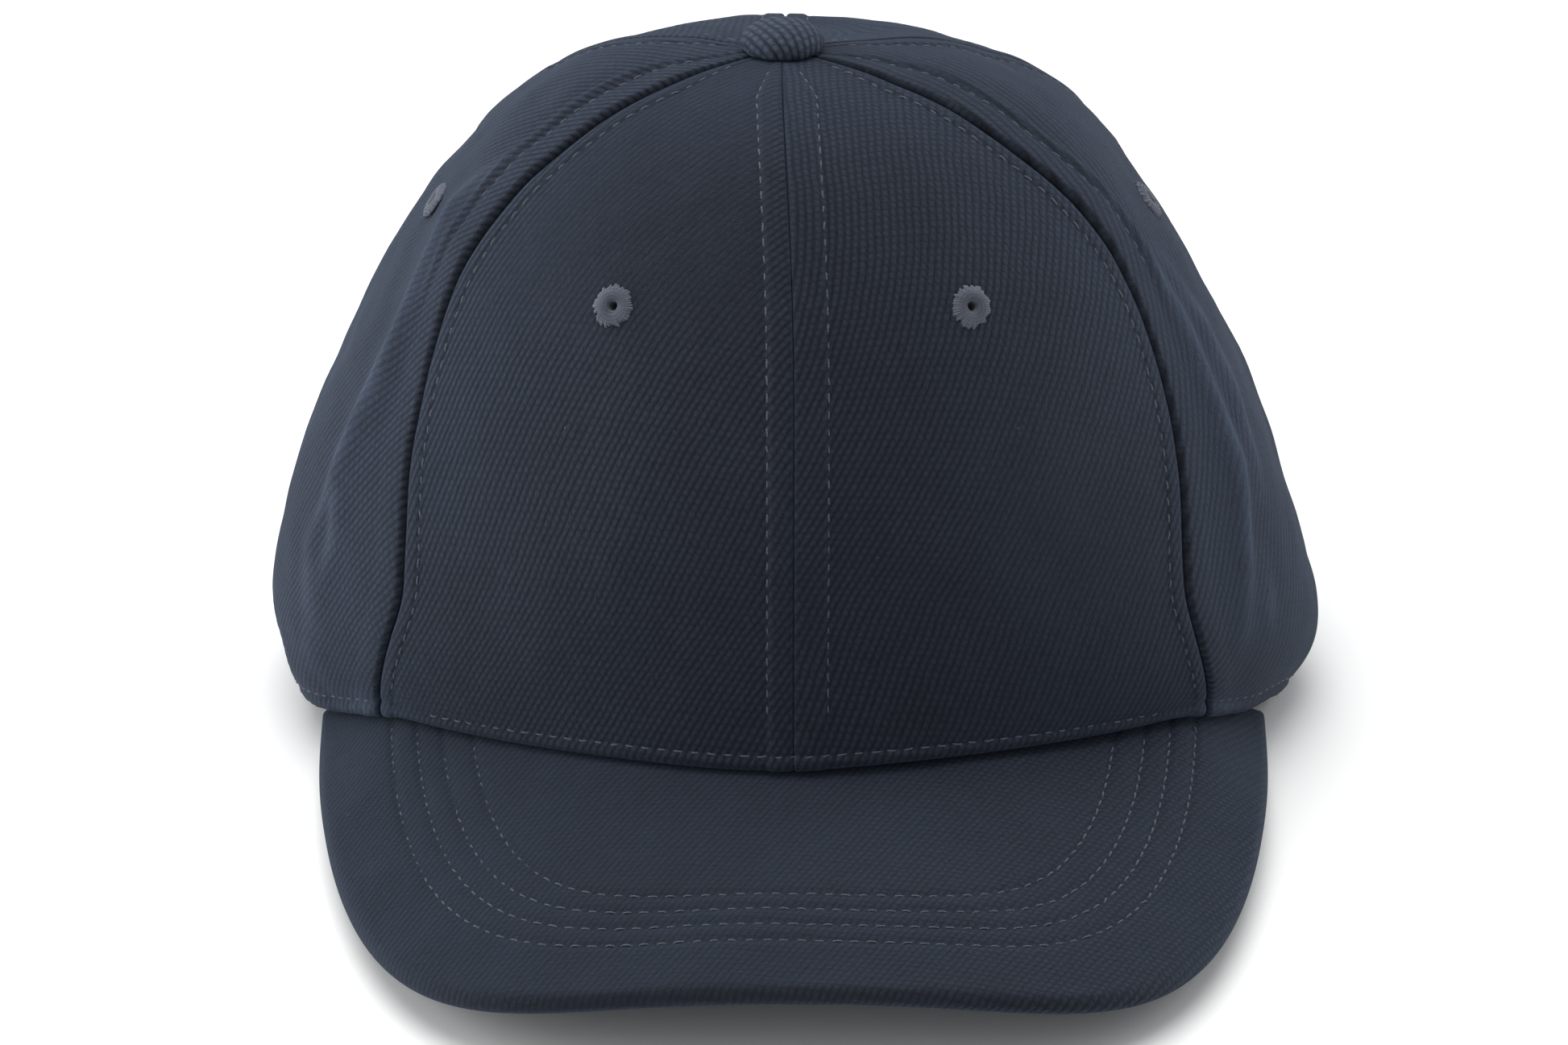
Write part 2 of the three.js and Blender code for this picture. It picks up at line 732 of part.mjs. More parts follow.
addPart(bill, 'bill_bottom_cover', billLayer([
  ...atDepth(BOTTOM_COVER.from),
  [1, 3.9, BOTTOM_COVER.from],
  [1, 3.9, BOTTOM_COVER.to],
  ...backAtDepth(BOTTOM_COVER.to),
]), 'twill_bill');

// ---------------------------------------------------------------------------------------------
// The rear closure
// ---------------------------------------------------------------------------------------------

// Everything in the closure stands on one arc about a vertical axis, so angles run along the strap,
// from the rear middle towards +X, and radii across it.
const arc = new THREE.Group();
arc.position.set(0, STRAP_ARC_CENTRE_Y, 0);
closure.add(arc);

function onArc(angle, radius, z) {
  return new THREE.Vector3(radius * Math.sin(rad(angle)), radius * Math.cos(rad(angle)), z);
}

// A strip bent to the arc, between two angles, two radii and two heights.
function arcStrip({ from, to, inner, outer, bottom, top, count }) {
  const sections = [];
  for (let i = 0; i <= count; i += 1) {
    const angle = lerp(from, to, i / count);
    sections.push([
      onArc(angle, outer, bottom),
      onArc(angle, outer, top),
      onArc(angle, inner, top),
      onArc(angle, inner, bottom),
    ]);
  }
  return loftSolid(sections);
}

const strapInner = STRAP_ARC_RADIUS - STRAP_THICKNESS / 2;
const strapOuter = STRAP_ARC_RADIUS + STRAP_THICKNESS / 2;
const strapTop = STRAP_BOTTOM + STRAP_WIDTH;

addPart(arc, 'adjusting_strap', arcStrip({
  from: -42, to: 19.6, inner: strapInner, outer: strapOuter, bottom: STRAP_BOTTOM, top: strapTop, count: 22,
}), 'twill');

// The metal tip is folded round the strap's free end.
function strapTip() {
  const box = arcStrip({
    from: 16,
    to: 20.3,
    inner: strapInner - 0.7,
    outer: strapOuter + 0.7,
    bottom: STRAP_BOTTOM - 0.7,
    top: strapTop + 0.7,
    count: 4,
  });
  const pocket = arcStrip({
    from: 15,
    to: 19.85,
    inner: strapInner - 0.3,
    outer: strapOuter + 0.3,
    bottom: STRAP_BOTTOM - 0.3,
    top: strapTop + 0.3,
    count: 4,
  });
  return geometryFrom(solidFrom(box).subtract(solidFrom(pocket)));
}

addPart(arc, 'strap_tip', strapTip(), 'metal');

// The buckle: +X runs along the strap to its free end, +Y out of the cap, and the strap is in the middle.
const buckle = new THREE.Group();
buckle.position.set(0, STRAP_ARC_RADIUS, STRAP_BOTTOM + STRAP_WIDTH / 2);
arc.add(buckle);

const FRAME_HALF_HEIGHT = 12;
const EAR_THICKNESS = 1;
const PIN_X = 5.2;
const PIN_Y = 2.4;
const PIN_RADIUS = 0.8;
const BAR_LEFT = 10.4;

// A flat shape in the plane across the pin, drawn as [x, y] points, made into a plate from z0 to z1.
function plate(points, z0, z1, hole) {
  const shape = new THREE.Shape(points.map(([x, y]) => new THREE.Vector2(x, y)));
  if (hole) {
    shape.holes.push(new THREE.Path().absarc(hole.x, hole.y, hole.r, 0, 2 * Math.PI, true));
  }
  const geometry = new THREE.ExtrudeGeometry(shape, {
    depth: z1 - z0, bevelEnabled: false, curveSegments: 10,
  });
  return solidFrom(geometry.translate(0, 0, z0));
}

function box(x0, x1, y0, y1, z0, z1) {
  return plate([[x0, y0], [x1, y0], [x1, y1], [x0, y1]], z0, z1);
}

function buckleFrame() {
  const back = plate([
    [-8, -2.4], [6.8, -2.4], [8.2, -4.6], [12, -4.6], [12, -3.7], [8.7, -3.7], [7.3, -1.5], [-8, -1.5],
  ], -FRAME_HALF_HEIGHT, FRAME_HALF_HEIGHT);
  const window = box(8.4, BAR_LEFT, -6, 0, -10.6, 10.6);
  const ear = [[-8, -2.4], [7, -2.4], [7.2, 1], [6.6, 3.9], [3.8, 3.9], [2, 1.6], [-8, 0.6]];
  const hole = { x: PIN_X, y: PIN_Y, r: PIN_RADIUS + 0.12 };
  const top = plate(ear, FRAME_HALF_HEIGHT - EAR_THICKNESS, FRAME_HALF_HEIGHT, hole);
  const bottom = plate(ear, -FRAME_HALF_HEIGHT, EAR_THICKNESS - FRAME_HALF_HEIGHT, hole);
  return geometryFrom(back.subtract(window).add(top).add(bottom));
}

addPart(buckle, 'buckle_frame', buckleFrame(), 'metal');

const pinProfile = [
  [0, -13.1], [1.3, -13.1], [1.3, -12.3], [PIN_RADIUS, -12.3],
  [PIN_RADIUS, 12.3], [1.3, 12.3], [1.3, 13.1], [0, 13.1],
];
const pin = addPart(buckle, 'buckle_pin', lathe(pinProfile, 16), 'metal');
pin.position.set(PIN_X, PIN_Y, 0);

// The lever turns on the pin. Closed, its cam presses on the strap and its plate covers it.
function buckleLever() {
  const outline = [
    [1.3, 0.8], [0.6, 1.45], [-0.8, 1.4], [-13.4, 0.75], [-14, 0.3], [-13.8, -0.1], [-2, 0.1],
    [-1.3, -0.8], [-0.6, -1.4], [0.6, -1.4], [1.3, -0.8],
  ];
  return geometryFrom(plate(outline, -10.6, 10.6, { x: 0, y: 0, r: PIN_RADIUS + 0.15 }));
}

const lever = addPart(buckle, 'buckle_lever', buckleLever(), 'metal');
lever.position.set(PIN_X, PIN_Y, 0);

// The short strap is sewn inside the right side of the opening and loops round the buckle's bar.
function buckleStrap() {
  const half = STRAP_WIDTH / 2;
  const loop = plate([
    [9.6, -5.9], [12.8, -6], [13.6, -5.6], [13.6, -3.6], [12.8, -2.9], [9.6, -2.5], [9, -3.1], [9, -5.3],
  ], -half, half);
  const bar = box(BAR_LEFT - 0.35, 12.35, -4.95, -3.35, -half - 1, half + 1);
  const tail = arcStrip({
    from: 8.9,
    to: 30.5,
    inner: STRAP_ARC_RADIUS - 4.9,
    outer: STRAP_ARC_RADIUS - 2.9,
    bottom: -half,
    top: half,
    count: 8,
  });
  tail.translate(0, -STRAP_ARC_RADIUS, 0);
  return geometryFrom(loop.subtract(bar).add(solidFrom(tail)));
}

addPart(buckle, 'buckle_strap', buckleStrap(), 'twill');

export default cap;
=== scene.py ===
# Looks for a six-panel baseball cap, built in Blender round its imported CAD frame.
#
# Shapes are worked out in millimetres with numpy and become meshes in metres. On the crown a place
# is (u, v): u is the azimuth from the front in radians, positive towards +X, and v runs from the rim
# (0) to the apex (1). Cloth coordinates are millimetres too: the first runs along the twill's wales
# and the second across them.
import math

import bpy
import numpy as np
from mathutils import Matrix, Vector


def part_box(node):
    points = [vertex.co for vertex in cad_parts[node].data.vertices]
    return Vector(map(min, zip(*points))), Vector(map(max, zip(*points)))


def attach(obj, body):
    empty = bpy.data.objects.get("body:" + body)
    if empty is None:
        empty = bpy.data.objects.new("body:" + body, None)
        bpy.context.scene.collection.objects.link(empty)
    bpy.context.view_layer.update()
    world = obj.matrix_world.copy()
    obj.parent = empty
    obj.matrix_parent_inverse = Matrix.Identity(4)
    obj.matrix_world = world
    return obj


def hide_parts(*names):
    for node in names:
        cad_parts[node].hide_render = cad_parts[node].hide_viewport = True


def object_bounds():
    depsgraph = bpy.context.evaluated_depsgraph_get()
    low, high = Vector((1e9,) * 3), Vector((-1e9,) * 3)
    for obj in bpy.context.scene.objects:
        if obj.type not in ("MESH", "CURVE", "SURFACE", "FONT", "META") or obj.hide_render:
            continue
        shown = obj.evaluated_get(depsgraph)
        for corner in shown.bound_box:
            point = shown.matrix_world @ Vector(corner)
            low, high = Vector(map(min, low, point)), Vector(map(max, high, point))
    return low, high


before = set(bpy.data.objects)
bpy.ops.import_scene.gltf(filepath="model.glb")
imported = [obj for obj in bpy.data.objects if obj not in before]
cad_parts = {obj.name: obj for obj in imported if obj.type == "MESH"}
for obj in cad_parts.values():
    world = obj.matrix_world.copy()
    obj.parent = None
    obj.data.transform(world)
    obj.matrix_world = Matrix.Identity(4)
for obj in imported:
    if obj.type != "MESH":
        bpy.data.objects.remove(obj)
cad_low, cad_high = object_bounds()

# ==== Driving dimensions, in millimetres and radians unless a name says degrees ====

MM = 0.001

# The crown, as the CAD part has it
RIM_HALF_WIDTH = 94.0
RIM_FRONT_DEPTH = 81.5
RIM_REAR_DEPTH = 101.0
RIM_FRONT_POWER = 1.8
RIM_REAR_POWER = 2.0
PROFILE_IN = {"front": 0.75, "side": 0.735, "rear": 0.9}
PROFILE_UP = {"front": 0.77, "side": 1.02, "rear": 0.9}
PROFILE_BULGE = {"front": -2.2, "side": 7.0, "rear": 1.5}
BULGE_AT = 0.1
BULGE_FACTOR = 1.3
APEX_HEIGHT = 136.0
APEX_LEFT = 2.2
APEX_FORWARD = 7.5
LEAN_FROM = 0.35
TOP_TILT = math.radians(1)
RIM_LIFT = 0.4
RIM_LEAVES_BILL = 74.0
RIM_ON_GROUND = 94.0
V_TOP = 0.984
CLOTH_THICKNESS = 1.2

# The bill
BILL_SEAM_HEIGHT = 24.3
BILL_SLOPE = math.radians(5.9)
BILL_ARCH = 13.7
BILL_ARCH_AT = 80.0
BILL_ARCH_POWER = 2.4
BILL_TIP_DROOP = 4.5
BILL_LENGTH = 64.1
BILL_HALF_WIDTH = 90.2
BILL_CORNER_Y = -24.0
BILL_SIDE_POWER = 5.0
BILL_FRONT_POWER = 1.68
BILL_END_AZIMUTH = math.radians(71)
BILL_UNDER_CROWN = 4.0
BILL_THICKNESS = 3.8
BILL_COVER = 0.8
BILL_WALE_DEGREES = 61
BILL_FRONT = -(RIM_FRONT_DEPTH + BILL_LENGTH * math.cos(BILL_SLOPE))

# Where the crown's own middle stands in the frame
CROWN_Y = cad_low.y / MM - BILL_FRONT

# Seams between panels: azimuths in degrees at stations from rim (0) to apex (1)
SEAM_STATIONS = np.array([0, 0.08, 0.14, 0.3, 0.48, 0.62, 0.75, 1])
SEAM_FRONT_SIDE = np.array([62, 57.5, 56, 60, 63, 62, 60, 60])
SEAM_SIDE_REAR = np.array([118, 119, 120, 120, 120, 120, 120, 120])

# Topstitching
STITCH_PITCH = 3.0
STITCH_LENGTH = 2.1
THREAD_RADIUS = 0.17
CENTRE_STITCH_LEFT = 4.7
CENTRE_STITCH_RIGHT = 6.2
EDGE_STITCH = 4.3
TUCKED_STITCH = 5.4
SIDE_STITCH = 6.3
BAND_WIDTH = 8.6
HEM_STITCH = 3.1
ROWS_START = 0.03
ROWS_END = 0.955
BILL_ROW_CORNER_Y = -29.0
BILL_ROW_HALF_WIDTHS = (60.9, 66.4, 71.0, 75.7)
BILL_ROW_FRONTS = (-117.1, -121.5, -126.0, -130.7)
BILL_ROW_SIDE_POWER = 5.1
BILL_ROW_FRONT_POWER = 1.8
BILL_ROW_SUNK = 0.22

# The rolled hem round the rim
HEM_ROLL = 1.9
HEM_HEIGHT = 0.55
HEM_GROOVE = 0.3

# Eyelets
EYELETS = {
    "front": (math.radians(29.6), 0.479),
    "side": (math.radians(88), 0.565),
    "rear": (math.radians(150), 0.54),
}
EYELET_CUT_RADIUS = 2.3
EYELET_THREADS = 46
# An eyelet's section, from its hole over the front, then round behind the cloth: the distance from
# its middle, the height, and how much the cords of thread stand out
EYELET_FRONT = [
    (0.85, 0.0, 0), (0.95, 0.35, 0.4), (1.3, 0.65, 0.8), (1.9, 0.8, 1), (2.5, 0.78, 1),
    (3.1, 0.58, 1), (3.6, 0.25, 0.9), (3.85, -0.1, 0.6), (3.3, -0.25, 0), (2.2, -0.3, 0),
]
EYELET_REAR = [
    (2.1, -0.4, 0), (3.3, -0.6, 0), (3.4, -0.9, 0.3), (2.4, -1.1, 0.6), (1.4, -1.0, 0.5), (0.9, -0.6, 0.2),
]
# How far behind the cloth an eyelet's rear lies, with and without the mesh between them
BEHIND_MESH = 2.3
BEHIND_CLOTH = 1.2

# The rear opening and the closure
ARCH_HALF_WIDTH = 40.0
ARCH_HEIGHT = 52.0
STRAP_ARC_CENTRE_Y = 13.5 + CROWN_Y
STRAP_ARC_RADIUS = 83.9
STRAP_MIDDLE_Z = 14.0
STRAP_ARC_CENTRE = np.array([0, STRAP_ARC_CENTRE_Y, STRAP_MIDDLE_Z])
STRAP_WIDTH = 20.0
STRAP_ROW_INSET = 2.0
# The ends of the long strap, in degrees from the middle of the rear
STRAP_SEWN_END = -42
STRAP_LOOSE_END = 19.6
# The short strap's ends and its turn round the buckle's bar, in degrees, and how far it and the bar
# lie inside the long strap
BUCKLE_STRAP_OUTER_END = 30.5
BUCKLE_STRAP_INNER_END = 29.0
BUCKLE_STRAP_TURN = 9.6
BUCKLE_STRAP_OUTER_INSET = 3.35
BUCKLE_STRAP_INNER_INSET = 4.75
BUCKLE_BAR_INSET = 4.15
BUCKLE_BAR_X = 11.2

# Inside the crown
TAPE_HALF_WIDTH = 7.0
FRONT_TAPE_DEPTH = 2.9
REAR_TAPE_DEPTH = 1.9
RIM_ALLOWANCE = 3
BAND_CLEARS_STRAP = 3.8

# The camera, and the strength of the surrounding light from the left and from the right
CAMERA_ELEVATION = math.radians(25.3)
CAMERA_DISTANCE = 1000.0
CAMERA_LENS = 123.3
CAMERA_AIM = (0.0, CROWN_Y - 30.0, 60.0)
CAMERA_LOOKS_BELOW_AIM = 8.57
CAMERA_LOOKS_LEFT_OF_AIM = 1.8
SKY_LEFT = 0.72
SKY_RIGHT = 0.34
SKY_COLOUR = (0.94, 0.97, 1.0, 1.0)

# The soft lights: name, place and diameter in metres, power in watts
LIGHTS = [
    ("overhead", (-0.1, 0.0, 1.35), 1.4, 16),
    ("left_side", (-1.25, 0.1, 0.4), 0.9, 8.5),
    ("right_side", (1.1, 0.65, 0.45), 0.9, 5.5),
    ("front_fill", (-0.8, -1.3, 0.8), 1.0, 2),
]
LIGHT_AIM = (0, 0, 0.07)
FLOOR_SIZE = 6.0


# ==== Surfaces ====

def smooth(x, low, high):
    t = np.clip((x - low) / (high - low), 0, 1)
    return t * t * (3 - 2 * t)


def hump(distance, width):
    return np.exp(-(distance / width) ** 2)


def unit(vectors):
    return vectors / np.linalg.norm(vectors, axis=-1, keepdims=True)


def bill_height(x, y):
    """Height of the bill's upper surface. Here y is measured from the crown's own middle."""
    arch = BILL_ARCH * (np.abs(x) / BILL_ARCH_AT) ** BILL_ARCH_POWER
    fall = math.tan(BILL_SLOPE) * (y + RIM_FRONT_DEPTH)
    droop = BILL_TIP_DROOP * smooth(np.abs(x), 70, 90) * smooth(y, -75, -27)
    return BILL_SEAM_HEIGHT - arch + fall - droop


def rim_radius(u):
    s = np.abs(np.sin(u))
    c = np.cos(u)
    power = np.where(c > 0, RIM_FRONT_POWER, RIM_REAR_POWER)
    depth = np.where(c > 0, RIM_FRONT_DEPTH, RIM_REAR_DEPTH)
    return ((s / RIM_HALF_WIDTH) ** power + (np.abs(c) / depth) ** power) ** (-1 / power)


def rim_height(u, x, y):
    off_bill = smooth(np.abs(np.degrees(u)), RIM_LEAVES_BILL, RIM_ON_GROUND)
    return (bill_height(x, y) + RIM_LIFT) * (1 - off_bill)


def blended(u, values):
    """A profile value blended round the crown from its front, side and rear values."""
    c = np.cos(u)
    front = np.maximum(c, 0) ** 1.5
    rear = np.maximum(-c, 0) ** 1.5
    return values["front"] * front + values["rear"] * rear + values["side"] * (1 - front - rear)


def crown_surface(u, v):
    """Points on the crown's plain outer surface."""
    u, v = np.broadcast_arrays(np.asarray(u, float), np.asarray(v, float))
    phi = v * math.pi / 2
    r0 = rim_radius(u)
    z0 = rim_height(u, r0 * np.sin(u), -r0 * np.cos(u))
    inward = np.maximum(np.cos(phi), 1e-9) ** blended(u, PROFILE_IN)
    upward = np.sin(phi) ** blended(u, PROFILE_UP)
    rise = (v / BULGE_AT) * np.exp(1 - v / BULGE_AT) * (1 - v)
    r = r0 * inward + BULGE_FACTOR * blended(u, PROFILE_BULGE) * rise
    x = r * np.sin(u)
    y = -r * np.cos(u)
    tilt = math.tan(TOP_TILT) * y * np.sin(phi) ** 2
    shift = smooth(v, LEAN_FROM, 1)
    z = z0 + (APEX_HEIGHT - z0) * upward - tilt
    return np.stack([x - APEX_LEFT * shift, y - APEX_FORWARD * shift + CROWN_Y, z], -1)


def crown_normal(u, v):
    w = np.clip(v, 0.004, 0.997)
    along = crown_surface(u + 0.01, w) - crown_surface(u - 0.01, w)
    up = crown_surface(u, w + 0.002) - crown_surface(u, w - 0.002)
    return unit(np.cross(along, up))


def crown_speed(u, v):
    """Millimetres along a row of the crown for each radian of azimuth."""
    return np.linalg.norm(crown_surface(u + 0.01, v) - crown_surface(u - 0.01, v), axis=-1) / 0.02


def station_at_height(u, height):
    """The station at which the crown is a given height above its rim, for arrays of azimuths."""
    u = np.asarray(u, float)
    low = np.zeros_like(u)
    high = np.full_like(u, 0.8)
    base = crown_surface(u, 0.0)[..., 2]
    for _ in range(30):
        middle = (low + high) / 2
        below = crown_surface(u, middle)[..., 2] - base < height
        low = np.where(below, middle, low)
        high = np.where(below, high, middle)
    return (low + high) / 2


def through_stations(values, t):
    """Smooth curve through the values at the seam stations."""
    t = np.asarray(t, float)
    last = len(SEAM_STATIONS) - 1
    i = np.clip(np.searchsorted(SEAM_STATIONS, t, side="left") - 1, 0, last - 1)

    def slope(k):
        a = np.maximum(k - 1, 0)
        b = np.minimum(k + 1, last)
        return (values[b] - values[a]) / (SEAM_STATIONS[b] - SEAM_STATIONS[a])

    h = SEAM_STATIONS[i + 1] - SEAM_STATIONS[i]
    q = (t - SEAM_STATIONS[i]) / h
    q2 = q * q
    q3 = q2 * q
    start = (2 * q3 - 3 * q2 + 1) * values[i] + (q3 - 2 * q2 + q) * h * slope(i)
    end = (3 * q2 - 2 * q3) * values[i + 1] + (q3 - q2) * h * slope(i + 1)
    return start + end


def seam_front(v):
    return np.zeros_like(np.asarray(v, float))


def seam_front_right(v):
    return np.radians(through_stations(SEAM_FRONT_SIDE, v))


def seam_front_left(v):
    return -seam_front_right(v)


def seam_rear_right(v):
    return np.radians(through_stations(SEAM_SIDE_REAR, v))


def seam_rear_left(v):
    return -seam_rear_right(v)


def seam_rear(v):
    return np.full_like(np.asarray(v, float), math.pi)


def seam_rear_from_left(v):
    return -seam_rear(v)


# ==== Relief: how the cloth stands above or below the crown's plain surface ====

def roll(distance, radius):
    """The drop of a rounded edge, at a distance in from it."""
    t = np.clip((radius - distance) / radius, 0, 0.98)
    return -radius * (1 - np.sqrt(1 - t * t))


def plateau(distance, start, end, height):
    rises = smooth(distance, start - 0.7, start + 0.7)
    falls = smooth(distance, end - 0.7, end + 0.9)
    return height * rises * (1 - falls)


def groove(distance, at, depth, half_width=0.6):
    return -depth * hump(distance - at, half_width)


def raised_seam(edge, stitch, height):
    """A seam's relief at a distance and a station: a rounded edge, then a raised band with a row of
    stitches on its outer side."""
    def profile(d, v):
        return roll(d, edge) + plateau(d, 0, stitch, height) + groove(d, stitch, 0.3, 0.5)
    return profile


def tucked_edge(d, v):
    """The front panel where it dives under the side panel's edge."""
    dive = -1.9 * (1 - smooth(d, 0, 2.1))
    return dive + plateau(d, 2.2, TUCKED_STITCH, 0.3) + groove(d, TUCKED_STITCH, 0.15, 0.5)


def folded_edge(d, v):
    """The side panel's edge. High up, the allowance under it shows as a band with a sharp edge."""
    high_up = smooth(v, 0.4, 0.56)
    edge = roll(d, 1.2) + 0.35 * (1 - smooth(d, 2, 8))
    band = plateau(d, 0, BAND_WIDTH, 0.4) + 0.8 * hump(d - BAND_WIDTH, 1.2)
    return edge + high_up * (band + groove(d, SIDE_STITCH, 0.2, 0.5))


PLAIN_SEAM = raised_seam(0.9, EDGE_STITCH, 0.35)
SEAMS = [
    # seam, the relief on its -u side, the relief on its +u side
    (seam_front, raised_seam(0.8, CENTRE_STITCH_LEFT, 0.45), raised_seam(0.8, CENTRE_STITCH_RIGHT, 0.45)),
    (seam_front_right, tucked_edge, folded_edge),
    (seam_front_left, folded_edge, tucked_edge),
    (seam_rear_right, PLAIN_SEAM, PLAIN_SEAM),
    (seam_rear_left, PLAIN_SEAM, PLAIN_SEAM),
    (seam_rear, PLAIN_SEAM, PLAIN_SEAM),
]
NARROW_WIDTH = 24.0


def closeness(v):
    """Near the apex the panels get narrow, and seams with all that lies beside them draw together."""
    width = crown_speed(math.radians(30), v) * math.radians(60)
    return np.clip(width / NARROW_WIDTH, 0.03, 1)


def seam_relief(u, v):
    height = np.zeros(np.broadcast(u, v).shape)
    near = closeness(v)
    for line, minus_side, plus_side in SEAMS:
        gap = (u - line(v) + math.pi) % (2 * math.pi) - math.pi
        distance = gap * crown_speed(line(v) + gap / 2, v) / near
        away = np.abs(distance)
        side = np.where(distance > 0, plus_side(away, v), minus_side(away, v))
        height += np.where(away < 14, side * near, 0)
    return height


def above_rim(u, v):
    """Distance up the cloth from the rim."""
    return np.linalg.norm(crown_surface(u, v) - crown_surface(u, 0.0), axis=-1)


def hem_relief(u, v):
    """The rim is turned under into a roll, and a row of stitches draws the cloth in along its top.
    On the sides the row sits higher, and the roll has small nubs."""
    d = above_rim(u, v)
    at_side = smooth(np.abs(np.degrees(u)), 52, 62)
    row = HEM_STITCH + at_side
    body = (HEM_HEIGHT + 0.15 * at_side) * (1 - smooth(d, row - 0.5, row + 0.5))
    stitched = groove(d, row, HEM_GROOVE + 0.15 * at_side, 0.6 + 0.3 * at_side)
    nubs = 0.2 * at_side * ripple(crown_surface(u, v), 2.4, 3) * hump(d - 2.2, 1.5)
    return roll(d, HEM_ROLL) + body + stitched + nubs


def rim_gap(u, v):
    """How far the rim stands up from the bill: most of all to the right of the middle."""
    degrees = np.degrees(u)
    gap = 0.25 + 0.75 * smooth(degrees, -12, 16) * (1 - smooth(degrees, 52, 66))
    in_front = 1 - smooth(np.abs(degrees), 60, 76)
    return gap * in_front * (1 - smooth(above_rim(u, v), 0.5, 7))


# Soft folds in the cloth: places in degrees and stations, height and half-width in millimetres
FOLDS = [
    ([(-70, 0.68), (-76.5, 0.58), (-71.5, 0.44), (-71, 0.35), (-72, 0.28), (-73.5, 0.22), (-75, 0.167)],
     1.9, 1.9),
    ([(-72, 0.245), (-70, 0.20), (-70, 0.14)], 0.8, 1.6),
    ([(-75.5, 0.16), (-71.5, 0.10), (-72, 0.05)], 0.6, 2.6),
    ([(69, 0.60), (71, 0.44), (69.5, 0.35), (70, 0.265), (67.5, 0.174), (65, 0.09)], 1.8, 1.8),
    ([(74.5, 0.50), (76, 0.42), (76.5, 0.35), (75, 0.28), (74, 0.23)], 1.4, 2.0),
    ([(71.5, 0.15), (70.5, 0.09)], 0.6, 2.0),
    ([(112, 0.55), (118, 0.66), (124, 0.76)], 2.0, 14.0),
    ([(-108, 0.60), (-120, 0.72)], 1.4, 12.0),
    ([(92, 0.35), (98, 0.45), (106, 0.60)], -1.6, 12.0),
    ([(-95, 0.60), (-99, 0.42), (-97, 0.25), (-99, 0.12)], 0.9, 5.0),
    ([(96, 0.62), (101, 0.45), (98, 0.27), (99, 0.10)], 0.8, 5.0),
    ([(-135, 0.66), (-131, 0.50), (-134, 0.34), (-129, 0.22)], 1.2, 7.0),
    ([(137, 0.62), (132, 0.47), (134, 0.31), (130, 0.20)], 1.2, 7.0),
    ([(-161, 0.72), (-165, 0.60)], 0.8, 6.0),
    ([(160, 0.74), (166, 0.61)], 0.8, 6.0),
    ([(140, 0.86), (180, 0.84), (220, 0.86)], -2.0, 11.0),
    ([(-74, 0.27), (-95, 0.25), (-116, 0.22)], 1.7, 13.0),
    ([(-78, 0.06), (-96, 0.045), (-116, 0.06)], -2.4, 7.0),
    ([(-70, 0.02), (-77, 0.01), (-86, 0.01)], 1.8, 6.0),
    ([(-22, 0.30), (-25, 0.18), (-20, 0.09)], 0.35, 7.0),
    ([(24, 0.34), (20, 0.22), (26, 0.10)], 0.3, 8.0),
]
SHARP_FOLD = 4.0


def fold_path(places):
    """A fold's centre line on the crown, as evenly spread points."""
    degrees, stations = np.array(places).T
    t = np.linspace(0, 1, len(places))
    fine = np.linspace(0, 1, 12 * len(places))
    return crown_surface(np.radians(np.interp(fine, t, degrees)), np.interp(fine, t, stations))


def fold_relief(u, v):
    """Height of the soft folds, and how near each place is to a fold's crest (0 to 1)."""
    points = crown_surface(u, v)
    height = np.zeros(points.shape[:-1])
    crest = np.zeros(points.shape[:-1])
    for places, rise, half_width in FOLDS:
        path = fold_path(places)
        away = np.full(points.shape[:-1], 1e9)
        along = np.zeros(points.shape[:-1])
        for i, p in enumerate(path):
            distance = np.linalg.norm(points - p, axis=-1)
            nearer = distance < away
            away = np.where(nearer, distance, away)
            along = np.where(nearer, i / (len(path) - 1), along)
        fade = np.sin(np.pi * np.clip(along, 0.04, 0.96)) ** 0.6
        shape = 0.6 * hump(away, half_width) + 0.4 * hump(away, 2.4 * half_width)
        height += rise * fade * shape
        if half_width < SHARP_FOLD:
            # Closeness to a sharp fold's crest, where a highlight is painted
            crest = np.maximum(crest, fade * hump(away, 1.3 * half_width) * min(1, rise))
    return height, crest


def ripple(points, wavelength, seed):
    """Soft random bumps, mostly between -1 and 1, from waves in random directions."""
    rng = np.random.default_rng(seed)
    waves = 14
    total = np.zeros(points.shape[:-1])
    for _ in range(waves):
        direction = unit(rng.normal(size=3))
        turns = 2 * math.pi / (wavelength * rng.uniform(0.7, 1.5))
        total += np.sin(points @ direction * turns + rng.uniform(0, 2 * math.pi))
    return total / math.sqrt(2 * waves)


def softness(u, v):
    """The slight unevenness of sewn cloth. The stiffened front panels are the smoothest."""
    points = crown_surface(u, v)
    soft = smooth(np.abs(np.degrees(u)), 55, 75)
    slow = ripple(points, 34, 1) * (0.25 + 0.55 * soft)
    quick = ripple(points, 12, 2) * (0.07 + 0.12 * soft)
    return (slow + quick) * smooth(v, 0, 0.05)


def relief(u, v):
    folds, _ = fold_relief(u, v)
    return seam_relief(u, v) + hem_relief(u, v) + folds + softness(u, v)


def worn_and_highlit(u, v):
    """A painted highlight along the crests of the sharp folds, and the nap abraded pale on the hem by the
    bill's ends.
    """
    _, crest = fold_relief(u, v)
    patch = hump(np.abs(np.degrees(u)) - 63, 6) * hump(above_rim(u, v) - 3, 3.5)
    uneven = 0.75 + 0.25 * ripple(crown_surface(u, v), 9, 6)
    # The crest term is a painted highlight; the patch term is real abrasion of the nap.
    return np.clip(0.7 * crest * uneven + 0.4 * patch, 0, 1)


